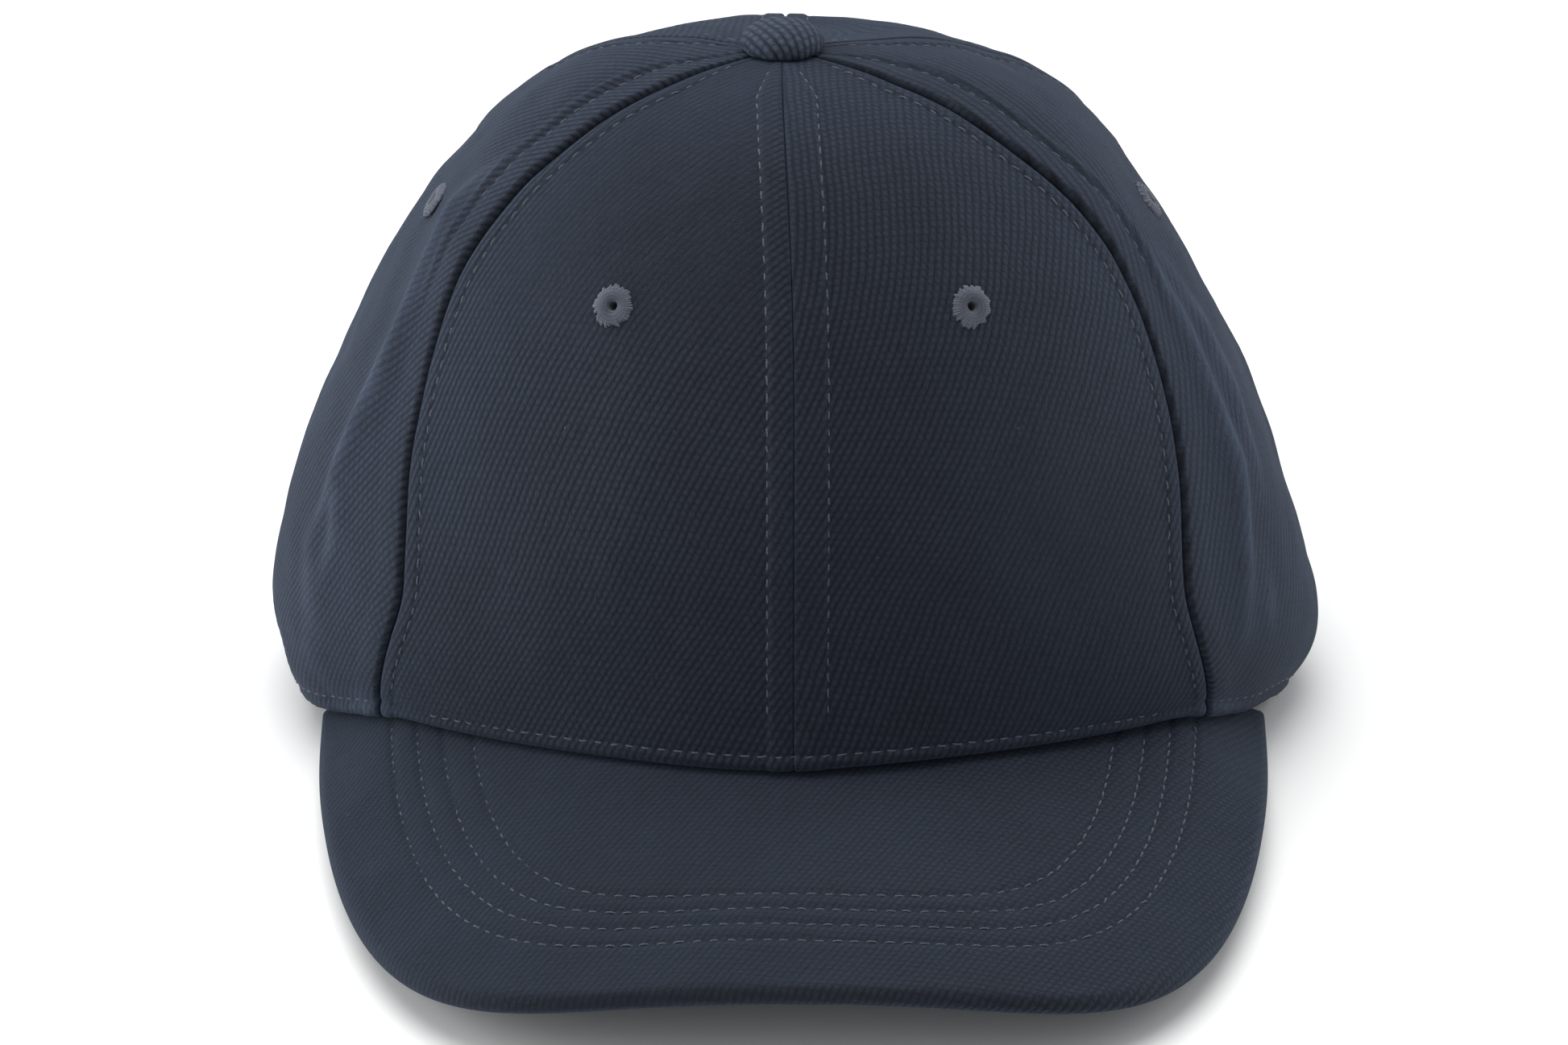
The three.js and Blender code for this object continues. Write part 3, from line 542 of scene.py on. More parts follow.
def napped(u, v):
    """Where the nap hides the wales: high on the left front panel, in the middle of the right one, and
    on the sides' upper parts."""
    degrees = np.degrees(u)
    left_front = smooth(v, 0.36, 0.56) * smooth(degrees, -60, -50) * (1 - smooth(degrees, -7, 0))
    right_front = hump(degrees - 38, 16) * hump(v - 0.2, 0.16)
    right_side = smooth(degrees, 60, 66) * (1 - smooth(degrees, 110, 130))
    left_side = smooth(-degrees, 66, 78) * (1 - smooth(-degrees, 92, 110))
    left_side = left_side * smooth(v, 0.2, 0.4) * (1 - smooth(v, 0.6, 0.7))
    return np.clip(left_front + 0.6 * right_front + 0.6 * right_side + 0.8 * left_side, 0, 1)


def cloth_point(u, v, lift=0.0):
    """A point on the cloth's finished outer surface, lifted along the crown's normal."""
    return laid(crown_surface(u, v), crown_normal(u, v), relief(u, v) + lift, rim_gap(u, v))


def laid(base, normal, height, gap):
    """Points moved out along the normal by a height and straight up by a gap."""
    return base + normal * height[..., None] + np.array([0, 0, 1]) * gap[..., None]


# ==== Meshes ====

def add_piece(name, points, faces, material, body="cap", stands_for=(),
              cloth=None, wear_and_highlight=None, nap=None):
    """A smooth-shaded mesh piece from points in millimetres, riding on a CAD body."""
    used, flat = np.unique(np.concatenate([np.ravel(f) for f in faces]), return_inverse=True)
    sizes = np.concatenate([np.full(len(f), np.shape(f)[1]) for f in faces])
    corners = np.split(flat, np.cumsum(sizes)[:-1])
    mesh = bpy.data.meshes.new(name)
    mesh.from_pydata((points[used] * MM).tolist(), [], [c.tolist() for c in corners])
    if cloth is not None:
        layer = mesh.uv_layers.new(name="cloth")
        layer.data.foreach_set("uv", cloth[used][flat].astype(np.float32).ravel())
    # Per-point values for the twill: abrasion together with the painted fold-crest highlight, and how much
    # the nap hides the wales
    for label, values in (("wear_and_highlight", wear_and_highlight), ("nap", nap)):
        attribute = mesh.attributes.new(label, "FLOAT", "POINT")
        values = np.zeros(len(points)) if values is None else values
        attribute.data.foreach_set("value", values[used].astype(np.float32))
    mesh.shade_smooth()
    mesh.materials.append(material)
    piece = bpy.data.objects.new(name, mesh)
    bpy.context.scene.collection.objects.link(piece)
    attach(piece, body)
    if stands_for:
        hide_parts(*stands_for)
    return piece


def grid_faces(index):
    """Quads over a grid of vertex numbers, facing the side from which rows run up and columns right."""
    corners = [index[:-1, :-1], index[:-1, 1:], index[1:, 1:], index[1:, :-1]]
    return np.stack(corners, -1)


def shell(outer, inner, keep=None):
    """A closed sheet between two grids of points, leaving out the cells that are not kept."""
    rows, columns = outer.shape[:2]
    count = rows * columns
    if keep is None:
        keep = np.ones((rows - 1, columns - 1), bool)
    cells = grid_faces(np.arange(count).reshape(rows, columns))
    faces = [cells[keep], cells[keep][:, ::-1] + count]
    padded = np.pad(keep, 1)
    neighbours = [((-1, 0), 0, 1), ((0, 1), 1, 2), ((1, 0), 2, 3), ((0, -1), 3, 0)]
    for (down, right), start, end in neighbours:
        beyond = padded[1 + down:rows + down, 1 + right:columns + right]
        edge = cells[keep & ~beyond]
        a = edge[:, start]
        b = edge[:, end]
        faces.append(np.stack([b, a, a + count, b + count], -1))
    points = np.concatenate([outer.reshape(-1, 3), inner.reshape(-1, 3)])
    return points, faces


def loft(rings, closed=False):
    """A surface through closed rings of points. Unless it closes on itself, its ends are capped."""
    count, around = rings.shape[:2]
    index = np.arange(count * around).reshape(count, around)
    wrapped = np.concatenate([index, index[:, :1]], 1)
    if closed:
        wrapped = np.concatenate([wrapped, wrapped[:1]], 0)
    faces = [grid_faces(wrapped).reshape(-1, 4)]
    if not closed:
        faces += [index[:1, ::-1], index[-1:]]
    return rings.reshape(-1, 3), faces


def turned_out(points, faces):
    """The same faces, reversed if they enclose a negative volume."""
    volume = 0.0
    for group in faces:
        corners = points[group]
        for k in range(1, corners.shape[1] - 1):
            cross = np.cross(corners[:, k], corners[:, k + 1])
            volume += np.sum(corners[:, 0] * cross)
    return faces if volume > 0 else [np.asarray(group)[:, ::-1] for group in faces]


def path_lengths(path):
    steps = np.linalg.norm(np.diff(path, axis=0), axis=-1)
    return np.concatenate([[0], np.cumsum(steps)])


def along_path(path, lengths, wanted):
    return np.stack([np.interp(wanted, lengths, path[:, k]) for k in range(path.shape[1])], -1)


STITCH_RINGS = np.linspace(-1, 1, 7)
STITCH_SIDES = 6


def stitches(path, normals, pitch=STITCH_PITCH, length=STITCH_LENGTH, radius=THREAD_RADIUS, seed=5):
    """Threads laid along a path on the cloth. Each is a soft capsule that dives in at both ends."""
    lengths = path_lengths(path)
    count = int((lengths[-1] - length) / pitch)
    rng = np.random.default_rng(seed)
    centres = (np.arange(count) + 0.5) * (lengths[-1] / count) + rng.normal(0, 0.07, count)
    reach = length / 2 * rng.uniform(0.9, 1.08, count)
    wanted = centres[:, None] + reach[:, None] * STITCH_RINGS
    middle = along_path(path, lengths, wanted)
    ahead = along_path(path, lengths, wanted + 0.2)
    behind = along_path(path, lengths, wanted - 0.2)
    up = unit(along_path(normals, lengths, wanted))
    sideways = unit(np.cross(ahead - behind, up))
    fat = radius * (1 - 0.55 * np.abs(STITCH_RINGS) ** 4)
    sunk = radius * rng.uniform(0, 0.9, count)
    lift = radius * (1.0 - 1.9 * np.abs(STITCH_RINGS) ** 3) - sunk[:, None]
    skew = rng.normal(0, 0.09, count)[:, None] * STITCH_RINGS
    middle = middle + up * lift[..., None] + sideways * skew[..., None]
    angles = np.arange(STITCH_SIDES) * 2 * math.pi / STITCH_SIDES
    ring = sideways[..., None, :] * np.cos(angles)[:, None]
    ring = ring + up[..., None, :] * np.sin(angles)[:, None] * 0.8
    points = middle[..., None, :] + ring * fat[:, None, None]
    around = np.arange(STITCH_SIDES) / STITCH_SIDES
    turns = np.broadcast_to(around, points.shape[:-1])
    runs = np.broadcast_to(wanted[..., None], points.shape[:-1])
    return points, np.stack([runs, turns], -1)


def add_stitches(name, rows, material, body="cap"):
    """One piece from several rows of stitches."""
    points = np.concatenate([p for p, _ in rows])
    cloth = np.concatenate([c for _, c in rows])
    count, rings, sides = points.shape[:3]
    index = np.arange(points.size // 3).reshape(count, rings, sides)
    wrapped = np.concatenate([index, index[..., :1]], -1)
    quads = np.concatenate([grid_faces(w).reshape(-1, 4) for w in wrapped])
    faces = [quads, index[:, 0, ::-1], index[:, -1]]
    flat = points.reshape(-1, 3)
    return add_piece(name, flat, turned_out(flat, faces), material, body=body,
                     cloth=cloth.reshape(-1, 2))


# ==== Materials ====

def colour(red, green, blue):
    """A display colour (0 to 255) as the linear values that a material takes."""
    def linear(c):
        return c / 255 / 12.92 if c < 10 else ((c / 255 + 0.055) / 1.055) ** 2.4
    return linear(red), linear(green), linear(blue), 1.0


class Signal:
    """The output of a shader node. Arithmetic on it adds maths nodes."""

    def __init__(self, material, socket):
        self.material = material
        self.socket = socket

    def __add__(self, other):
        return self.material.math("ADD", self, other)

    def __sub__(self, other):
        return self.material.math("SUBTRACT", self, other)

    def __mul__(self, other):
        return self.material.math("MULTIPLY", self, other)

    def __truediv__(self, other):
        return self.material.math("DIVIDE", self, other)


class Material:
    """A principled material with short calls for the nodes that feed it."""

    def __init__(self, name, roughness=0.9, metallic=0.0):
        self.material = bpy.data.materials.new(name)
        self.material.use_nodes = True
        self.tree = self.material.node_tree
        self.shader = self.tree.nodes["Principled BSDF"]
        self.set("Roughness", roughness)
        self.set("Metallic", metallic)

    def feed(self, socket, value):
        if isinstance(value, Signal):
            self.tree.links.new(value.socket, socket)
        else:
            socket.default_value = value

    def set(self, socket, value):
        self.feed(self.shader.inputs[socket], value)

    def node(self, kind, settings=None, inputs=(), output=0):
        """A new node's output. Inputs are values in order, or go by name."""
        node = self.tree.nodes.new(kind)
        for key, value in (settings or {}).items():
            setattr(node, key, value)
        named = inputs.items() if isinstance(inputs, dict) else enumerate(inputs)
        for key, value in named:
            self.feed(node.inputs[key], value)
        return Signal(self, node.outputs[output])

    def math(self, operation, *values):
        return self.node("ShaderNodeMath", {"operation": operation}, values)

    def mix(self, factor, a, b, blend="MIX"):
        settings = {"data_type": "RGBA", "blend_type": blend}
        return self.node("ShaderNodeMix", settings, {0: factor, 6: a, 7: b}, output=2)

    def split(self, vector):
        """The x, y and z of a vector."""
        first = self.node("ShaderNodeSeparateXYZ", inputs=[vector])
        return [Signal(self, socket) for socket in first.socket.node.outputs]

    def cloth(self):
        """Millimetres along and across the cloth's threads."""
        return self.split(self.node("ShaderNodeUVMap", {"uv_map": "cloth"}))[:2]

    def place(self):
        return self.node("ShaderNodeTexCoord", output="Object")

    def vector(self, x, y, z=0.0):
        return self.node("ShaderNodeCombineXYZ", inputs=[x, y, z])

    def noise(self, vector, scale, detail=2.0, roughness=0.5):
        inputs = {"Vector": vector, "Scale": scale, "Detail": detail, "Roughness": roughness}
        return self.node("ShaderNodeTexNoise", inputs=inputs, output="Fac")

    def range(self, value, low, high, to_low, to_high):
        return self.node("ShaderNodeMapRange", inputs=[value, low, high, to_low, to_high])

    def attribute(self, name):
        return self.node("ShaderNodeAttribute", {"attribute_name": name}, output="Fac")

    def wave(self, value):
        """Rises from 0 to 1 and falls back over each unit of the value."""
        return self.math("SINE", self.math("FRACT", value) * math.pi)

    def bump(self, height, distance):
        inputs = {"Height": height, "Distance": distance, "Strength": 1.0}
        self.set("Normal", self.node("ShaderNodeBump", inputs=inputs))


def darker(tint, factor):
    return (*(factor * c for c in tint[:3]), 1.0)


def twill(name, valley, ridge, pitch=1.35, depth=0.2, clarity=1.0):
    """Napped cotton twill: diagonal wales of short yarn floats under fuzz, with lint, abraded pale patches
    and a painted highlight along fold crests.
    """
    float_length = 1.5
    m = Material(name)
    along, across = m.cloth()
    wander = m.noise(m.vector(along, across), 0.12, 2.0)
    jitter = m.noise(m.vector(along, across), 1.3, 3.0, 0.6)
    across = across + (wander * 0.9 + jitter * 0.42)
    place = m.vector(along, across)

    wale = across / pitch
    number = m.math("FLOOR", wale)
    rounded = m.math("POWER", m.wave(wale), 1.6)
    floats = m.wave(along / float_length + number * 0.37) * 0.6 + 0.42
    clear = m.attribute("nap") * (-0.65 * clarity) + clarity
    wales = (rounded * floats - 0.4) * clear

    fuzz = m.noise(place, 2.4, 5.0, 0.75) - 0.5
    strands = m.noise(m.vector(along * 0.6, across * 3.0), 1.0, 3.0, 0.6) - 0.5
    height = wales + (fuzz * 1.8 + strands * 0.9)

    base = m.mix(m.range(height, -0.7, 0.9, 0.0, 1.0), valley, ridge)
    yarn = m.range(m.noise(m.vector(along * 0.25, number), 1.7, 2.0), 0.25, 0.75, 0.84, 1.16)
    patches = m.range(m.noise(m.place(), 38.0, 3.0, 0.6), 0.3, 0.7, 0.86, 1.14)
    shade = yarn * patches
    base = m.mix(1.0, base, m.vector(shade, shade, shade), "MULTIPLY")
    # Pale where the nap is abraded, and a painted highlight along fold crests
    wear_and_highlight_mix = m.attribute("wear_and_highlight") * m.range(fuzz, -0.2, 0.2, 0.4, 0.9)
    base = m.mix(wear_and_highlight_mix, base, WORN_AND_HIGHLIGHT_COLOUR)
    specks = m.range(m.noise(place, 0.9, 1.0), 0.80, 0.84, 0.0, 0.5)

    m.set("Base Color", m.mix(specks, base, LINT_COLOUR))
    m.set("Roughness", m.range(fuzz, -0.2, 0.2, 0.88, 0.98))
    m.set("Specular IOR Level", 0.2)
    m.set("Sheen Weight", 0.2)
    m.set("Sheen Roughness", 0.45)
    m.set("Sheen Tint", SHEEN_COLOUR)
    m.bump(height, depth * MM)
    return m.material


def thread(name, tint):
    """Two-ply polyester thread: a slanted twist along each stitch."""
    m = Material(name, roughness=0.62)
    along, around = m.cloth()
    ply = m.wave(along * 1.6 + around)
    shade = ply * m.range(m.noise(m.place(), 900.0), 0.3, 0.7, 0.7, 1.0)
    m.set("Base Color", m.mix(shade, darker(tint, 0.45), tint))
    m.set("Sheen Weight", 0.2)
    m.bump(ply, 0.05 * MM)
    return m.material


def plain_weave(name, low, high, pitch=0.55, depth=0.12):
    """An even over-and-under weave, for the lining, the tapes, the mesh and the label."""
    m = Material(name)
    along, across = m.cloth()
    turn = math.pi / pitch
    warp = m.math("ABSOLUTE", m.math("SINE", along * turn))
    weft = m.math("ABSOLUTE", m.math("SINE", across * turn))
    height = warp * weft
    fuzz = m.noise(m.vector(along, across), 1.4, 4.0, 0.65)
    m.set("Base Color", m.mix(height * 0.6 + fuzz * 0.5, low, high))
    m.set("Sheen Weight", 0.2)
    m.bump(height + fuzz * 0.4, depth * MM)
    return m.material


def aged_metal(name, base, dark):
    """Brushed, slightly tarnished brass."""
    m = Material(name, metallic=1.0)
    x, y, z = m.split(m.place())
    brushed = m.noise(m.vector(x * 60.0, y * 60.0, z * 2400.0), 1.0, 3.0)
    tarnish = m.noise(m.place(), 160.0, 4.0, 0.6)
    m.set("Base Color", m.mix(m.range(tarnish, 0.4, 0.7, 0.0, 1.0), base, dark))
    m.set("Roughness", m.range(brushed + tarnish, 0.7, 1.3, 0.26, 0.5))
    m.bump(brushed, 0.03 * MM)
    return m.material


def moulded_plastic(name, base):
    """Translucent-white board with a fine moulded grain."""
    m = Material(name)
    grain = m.noise(m.place(), 1400.0, 3.0)
    m.set("Base Color", m.mix(grain, darker(base, 0.9), base))
    m.set("Roughness", m.range(grain, 0.3, 0.7, 0.42, 0.6))
    m.bump(grain, 0.03 * MM)
    return m.material


SHEEN_COLOUR = colour(170, 195, 235)
# Pale blue-grey for abraded nap and for the painted highlight along fold crests
WORN_AND_HIGHLIGHT_COLOUR = colour(84, 94, 113)
LINT_COLOUR = colour(104, 108, 118)
CROWN_TWILL = twill("crown_twill", colour(4, 5, 8), colour(43, 48, 60))
# The button's cover is the crown's cloth; its lighter colours are a painted highlight on its upturned top
LIT_BUTTON_TWILL = twill("lit_button_twill", colour(20, 23, 30), colour(76, 83, 97), depth=0.35, clarity=1.4)
# The bill's cover is the crown's cloth; its darker colours are painted shade
SHADED_BILL_TWILL = twill("shaded_bill_twill", colour(4, 6, 10), colour(34, 38, 48), 1.24, 0.18, 1.1)
THREAD = thread("navy_thread", colour(70, 76, 89))
EYELET_THREAD = thread("eyelet_thread", colour(85, 91, 106))
LINING = plain_weave("lining", colour(22, 26, 34), colour(44, 49, 60))
TAPE = plain_weave("seam_tape", colour(26, 30, 38), colour(52, 57, 68), pitch=0.8)
BUCKRAM = plain_weave("buckram_mesh", colour(150, 147, 138), colour(222, 219, 208), pitch=1.3, depth=0.4)
BACKING = plain_weave("sweatband_backing", colour(176, 174, 168), colour(212, 210, 204), pitch=0.5)
LABEL = plain_weave("label_satin", colour(205, 203, 196), colour(240, 238, 232), pitch=0.35, depth=0.06)
BRASS = aged_metal("aged_brass", colour(158, 147, 120), colour(128, 117, 94))
BOARD = moulded_plastic("board_plastic", colour(232, 230, 222))


# ==== Crown panels ====

# Distances of the grid's columns from a seam and of its rows from the rim, close together where
# the cloth rolls over
SEAM_COLUMNS = np.array([0.05, 0.3, 0.6, 0.9, 1.3, 1.7, 2.2, 2.7, 3.3, 3.8, 4.3, 4.8, 5.3, 5.8,
                         6.3, 6.9, 7.6, 8.5])
HEM_ROWS = np.array([0, 0.2, 0.5, 0.9, 1.3, 1.7, 2.2, 2.6, 3.0, 3.5, 4.2, 5, 5.8, 6.5, 7.1, 7.6, 8.2, 9])
MIDDLE_COLUMNS = 64
ROW_SPACING = 1.15


def row_stations(u):
    """Stations of a panel's rows, spaced along its middle line."""
    fine = np.linspace(0, V_TOP, 1500)
    lengths = path_lengths(crown_surface(u, fine))
    plain = np.arange(HEM_ROWS[-1] + ROW_SPACING, lengths[-1], ROW_SPACING)
    wanted = np.concatenate([HEM_ROWS, plain, lengths[-1:]])
    return np.interp(wanted, lengths, fine), wanted


def columns_across(width, near):
    """Distances from the left seam of the columns in a row of a given width."""
    edge = SEAM_COLUMNS * min(near, 0.46 * width / SEAM_COLUMNS[-1])
    middle = np.linspace(edge[-1], width - edge[-1], MIDDLE_COLUMNS + 2)[1:-1]
    return np.concatenate([edge, middle, width - edge[::-1]])


def lean(u, v):
    """Sine of the angle by which the crown leans in from upright."""
    up = unit(crown_surface(u, v + 0.002) - crown_surface(u, v - 0.002))
    return -(up[..., 0] * math.sin(u) - up[..., 1] * math.cos(u))


def panel_grid(left, right):
    """Azimuths, stations and flat-cloth coordinates of a panel's grid of points. Laid flat, a row of
    a panel that leans in is an arc, because the panel is cut like the peel of an orange."""
    middle = float(left(0.3) + right(0.3)) / 2
    stations, heights = row_stations(middle)
    azimuths = []
    flat = []
    for v, height in zip(stations, heights):
        fine = np.linspace(left(v), right(v), 161)
        lengths = path_lengths(crown_surface(fine, v))
        across = columns_across(lengths[-1], float(closeness(v)))
        azimuths.append(np.interp(across, lengths, fine))
        sideways = across - lengths[-1] / 2
        turn = sideways * lean(middle, max(v, 0.002)) / crown_speed(middle, v)
        flat.append(np.stack([sideways * (1 - turn ** 2 / 6), height + sideways * turn / 2], -1))
    u = np.array(azimuths)
    v = np.broadcast_to(stations[:, None], u.shape)
    return u, v, np.array(flat)


def turned(flat, degrees):
    """Flat-cloth coordinates turned so that the first runs along wales at an angle to the rows."""
    c = math.cos(math.radians(degrees))
    s = math.sin(math.radians(degrees))
    x = flat[..., 0]
    y = flat[..., 1]
    return np.stack([x * c + y * s, y * c - x * s], -1)


def overhang(u, v, left, right):
    """Azimuth steps that draw the side panels' rolled edges over the front panels."""
    step = np.zeros_like(u)
    for line, towards in ((seam_front_right, -1), (seam_front_left, 1)):
        if line in (left, right):
            distance = np.abs(u - line(v)) * crown_speed(u, v)
            step += towards * 0.7 * (1 - smooth(distance, 0, 6)) * closeness(v) / crown_speed(u, v)
    return step


def cells_near(points, centre, radius):
    """Cells of a grid whose middle is within a radius of a point."""
    middle = (points[:-1, :-1] + points[1:, 1:]) / 2
    return np.linalg.norm(middle - centre, axis=-1) < radius


def inside_arch(points, margin):
    """Whether points lie in the rear opening, seen from behind."""
    x = points[..., 0]
    z = points[..., 2]
    straight = ARCH_HEIGHT - ARCH_HALF_WIDTH
    across = np.where(z > straight, np.hypot(x, z - straight), np.abs(x))
    return (across < ARCH_HALF_WIDTH + margin) & (points[..., 1] > CROWN_Y)


def twice(values):
    """Values for both faces of a sheet."""
    return np.concatenate([values, values])


def crown_panel(name, left, right, side, wale_degrees):
    where = name.split("_")[0]
    eyelet = (side * EYELETS[where][0], EYELETS[where][1])
    u, v, flat = panel_grid(left, right)
    height = relief(u, v)
    gap = rim_gap(u, v)
    shifted = u + overhang(u, v, left, right) if where == "side" else u
    normal = crown_normal(shifted, v)
    base = crown_surface(shifted, v)
    outer = laid(base, normal, height, gap)
    inner = laid(base, normal, height - CLOTH_THICKNESS, gap)
    keep = ~cells_near(base, crown_surface(*eyelet), EYELET_CUT_RADIUS)
    if where == "rear":
        inside = inside_arch(base, 1.0)
        keep &= ~(inside[:-1, :-1] | inside[1:, 1:] | inside[:-1, 1:] | inside[1:, :-1])
    points, faces = shell(outer, inner, keep)
    cloth = turned(flat, wale_degrees).reshape(-1, 2) * (SIDE_WEAVE if where == "side" else 1)
    # The cloth carries its abrasion and the painted fold-crest highlight as a point attribute
    add_piece(name + "_cloth", points, faces, CROWN_TWILL, stands_for=[name],
              cloth=twice(cloth), wear_and_highlight=twice(worn_and_highlit(u, v).ravel()),
              nap=twice(napped(u, v).ravel()))


# The side panels hang slack, so their weave looks coarser
SIDE_WEAVE = 0.82

PANELS = [
    # name, left seam, right seam, side of its eyelet, degrees of the wales from the rows
    ("front_panel_left", seam_front_left, seam_front, -1, 65),
    ("front_panel_right", seam_front, seam_front_right, 1, 61),
    ("side_panel_left", seam_rear_left, seam_front_left, -1, 58),
    ("side_panel_right", seam_front_right, seam_rear_right, 1, 60),
    ("rear_panel_left", seam_rear_from_left, seam_rear_left, -1, 62),
    ("rear_panel_right", seam_rear_right, seam_rear, 1, 62),
]

for panel_name, panel_left, panel_right, panel_side, wales in PANELS:
    crown_panel(panel_name, panel_left, panel_right, panel_side, wales)


# ==== Crown topstitching ====

def beside(line, v, distance):
    """Azimuths at a signed distance from a seam, drawn in near the apex."""
    return line(v) + distance * closeness(v) / crown_speed(line(v), v)


def seam_stitches(line, distance, start, seed):
    """A row of stitches beside a seam, from a station up to the button."""
    v = np.linspace(start, ROWS_END, 500)
    u = beside(line, v, distance)
    return stitches(cloth_point(u, v, -0.05), crown_normal(u, v), seed=seed)


def hem_stitches(from_degrees, to_degrees, height, seed):
    """A row of stitches along the rim, at a height above it."""
    u = np.radians(np.linspace(from_degrees, to_degrees, 1200))
    v = station_at_height(u, height)
    return stitches(cloth_point(u, v, -0.05), crown_normal(u, v), seed=seed)


SEAM_ROWS = [
    # seam, distance from it, station where the row starts
    (seam_front, CENTRE_STITCH_RIGHT, ROWS_START),
    (seam_front, -CENTRE_STITCH_LEFT, ROWS_START),
    (seam_front_right, -TUCKED_STITCH, ROWS_START),
    (seam_front_right, SIDE_STITCH, 0.5),
    (seam_front_left, TUCKED_STITCH, ROWS_START),
    (seam_front_left, -SIDE_STITCH, 0.6),
    (seam_rear_right, EDGE_STITCH, ROWS_START),
    (seam_rear_right, -EDGE_STITCH, ROWS_START),
    (seam_rear_left, EDGE_STITCH, ROWS_START),
    (seam_rear_left, -EDGE_STITCH, ROWS_START),
    (seam_rear, EDGE_STITCH, 0.45),
    (seam_rear, -EDGE_STITCH, 0.45),
]
RIM_ROWS = [
    # first and last azimuth in degrees, height above the rim
    (-52, 52, HEM_STITCH),
    (62, 150, HEM_STITCH + 1),
    (-150, -62, HEM_STITCH + 1),
]
crown_rows = [seam_stitches(*row, seed=11 + number) for number, row in enumerate(SEAM_ROWS)]
crown_rows += [hem_stitches(*row, seed=23 + number) for number, row in enumerate(RIM_ROWS)]
add_stitches("crown_topstitching", crown_rows, THREAD)


# ==== Eyelets and button ====

def frame_at(u, v):
    """A point on the cloth and three axes there: right, up the crown, and out."""
    place = cloth_point(np.array(u), np.array(v))
    out = crown_normal(np.array(u), np.array(v))
    right = unit(np.cross([0, 0, 1], out))
    return place, right, np.cross(out, right), out


def eyelet(name, u, v, back):
    """A ring of radial embroidery threads round a hole, wrapping to the back of the cloth."""
    rng = np.random.default_rng(abs(int(math.degrees(u) * 10)))
    per_thread = 6
    count = EYELET_THREADS * per_thread
    angles = np.linspace(0, 2 * math.pi, count, endpoint=False)[:, None]
    which = np.arange(count) // per_thread
    phase = (np.arange(count) % per_thread) / per_thread
    cord = (np.sin(math.pi * phase) ** 0.7)[:, None]
    reach = rng.uniform(-0.45, 0.4, EYELET_THREADS)[which][:, None]
    section = np.array(EYELET_FRONT + [(r, h - back, c) for r, h, c in EYELET_REAR])
    radius = section[:, 0] + reach * smooth(section[:, 0], 2.6, 3.8)
    height = section[:, 1] + 0.3 * (cord - 0.5) * section[:, 2]
    place, right, up, out = frame_at(u, v)
    across = (radius * np.cos(angles))[..., None] * right
    along = (radius * np.sin(angles))[..., None] * up
    points = place + across + along + height[..., None] * out
    around = np.broadcast_to(angles / (2 * math.pi) * EYELET_THREADS, radius.shape)
    flat, faces = loft(points, closed=True)
    add_piece(name + "_thread", flat, turned_out(flat, faces), EYELET_THREAD, stands_for=[name],
              cloth=np.stack([radius, around], -1).reshape(-1, 2))


for where, (azimuth, station) in EYELETS.items():
    behind = BEHIND_MESH if where == "front" else BEHIND_CLOTH
    eyelet(f"eyelet_{where}_left", -azimuth, station, behind)
    eyelet(f"eyelet_{where}_right", azimuth, station, behind)


def button_cover():
    """Cloth gathered over the button's dome, with small pleats round its lower edge."""
    low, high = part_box("button_cover")
    centre = np.array([(low.x + high.x) / 2, (low.y + high.y) / 2]) / MM
    radius = (high.x - low.x) / 2 / MM
    top = high.z / MM
    base = low.z / MM
    around = 96

    def dome(radius, base, top):
        """The dome's section, from its top down to its base."""
        t = np.linspace(0.02, 1, 26) * math.pi / 2
        return np.stack([radius * np.sin(t) ** 0.85, base + (top - base) * np.cos(t) ** 0.9], -1)

    over = dome(radius, base + 0.9, top)
    under = np.array([[radius - 0.15, base + 0.35], [radius - 0.9, base], [radius - 2.2, base]])
    inside = np.array([[radius - 2.2, base + 0.5], [radius - 1.1, base + 0.7]])
    lining = dome(radius - 0.8, base + 0.9, top - 0.7)[::-1]
    section = np.concatenate([over, under, inside, lining])
    angles = np.arange(around) * 2 * math.pi / around
    rng = np.random.default_rng(31)
    pleats = np.sin(angles * 13 + 0.8 * np.sin(angles * 3)) * rng.uniform(0.7, 1.3, around)
    low_down = smooth(top - section[:, 1], 2.0, 5.5)
    r = section[:, 0][:, None] + 0.16 * pleats[None, :] * low_down[:, None]
    tilt = math.tan(TOP_TILT) * r * np.cos(angles)
    points = np.stack([
        centre[0] + r * np.sin(angles),
        centre[1] - r * np.cos(angles),
        np.broadcast_to(section[:, 1][:, None], r.shape) + tilt,
    ], -1)
    lengths = path_lengths(section)
    outside = np.arange(len(section)) < len(over) + len(under)
    run = np.where(outside, lengths, lengths[-1] - lengths)
    cloth = np.stack([run[:, None] * np.sin(angles), -run[:, None] * np.cos(angles)], -1)
    flat, faces = loft(points)
    add_piece("button_cloth", flat, turned_out(flat, faces), LIT_BUTTON_TWILL, stands_for=["button_cover"],
              cloth=turned(cloth * 0.85, 118).reshape(-1, 2))


button_cover()


# ==== Bill ====

def bill_outline(s, half_width, front, corner, side_power, front_power):
    """Plan of the bill's edge or of a row of stitches, from its left end (-1) to its right (1)."""
    t = np.asarray(s) * math.pi / 2
    x = half_width * np.sign(t) * np.abs(np.sin(t)) ** (2 / side_power)
    y = corner + (front - corner) * np.abs(np.cos(t)) ** (2 / front_power)
    return np.stack([x, y], -1)


def bill_edge(s):
    return bill_outline(s, BILL_HALF_WIDTH, BILL_FRONT, BILL_CORNER_Y,
                        BILL_SIDE_POWER, BILL_FRONT_POWER)


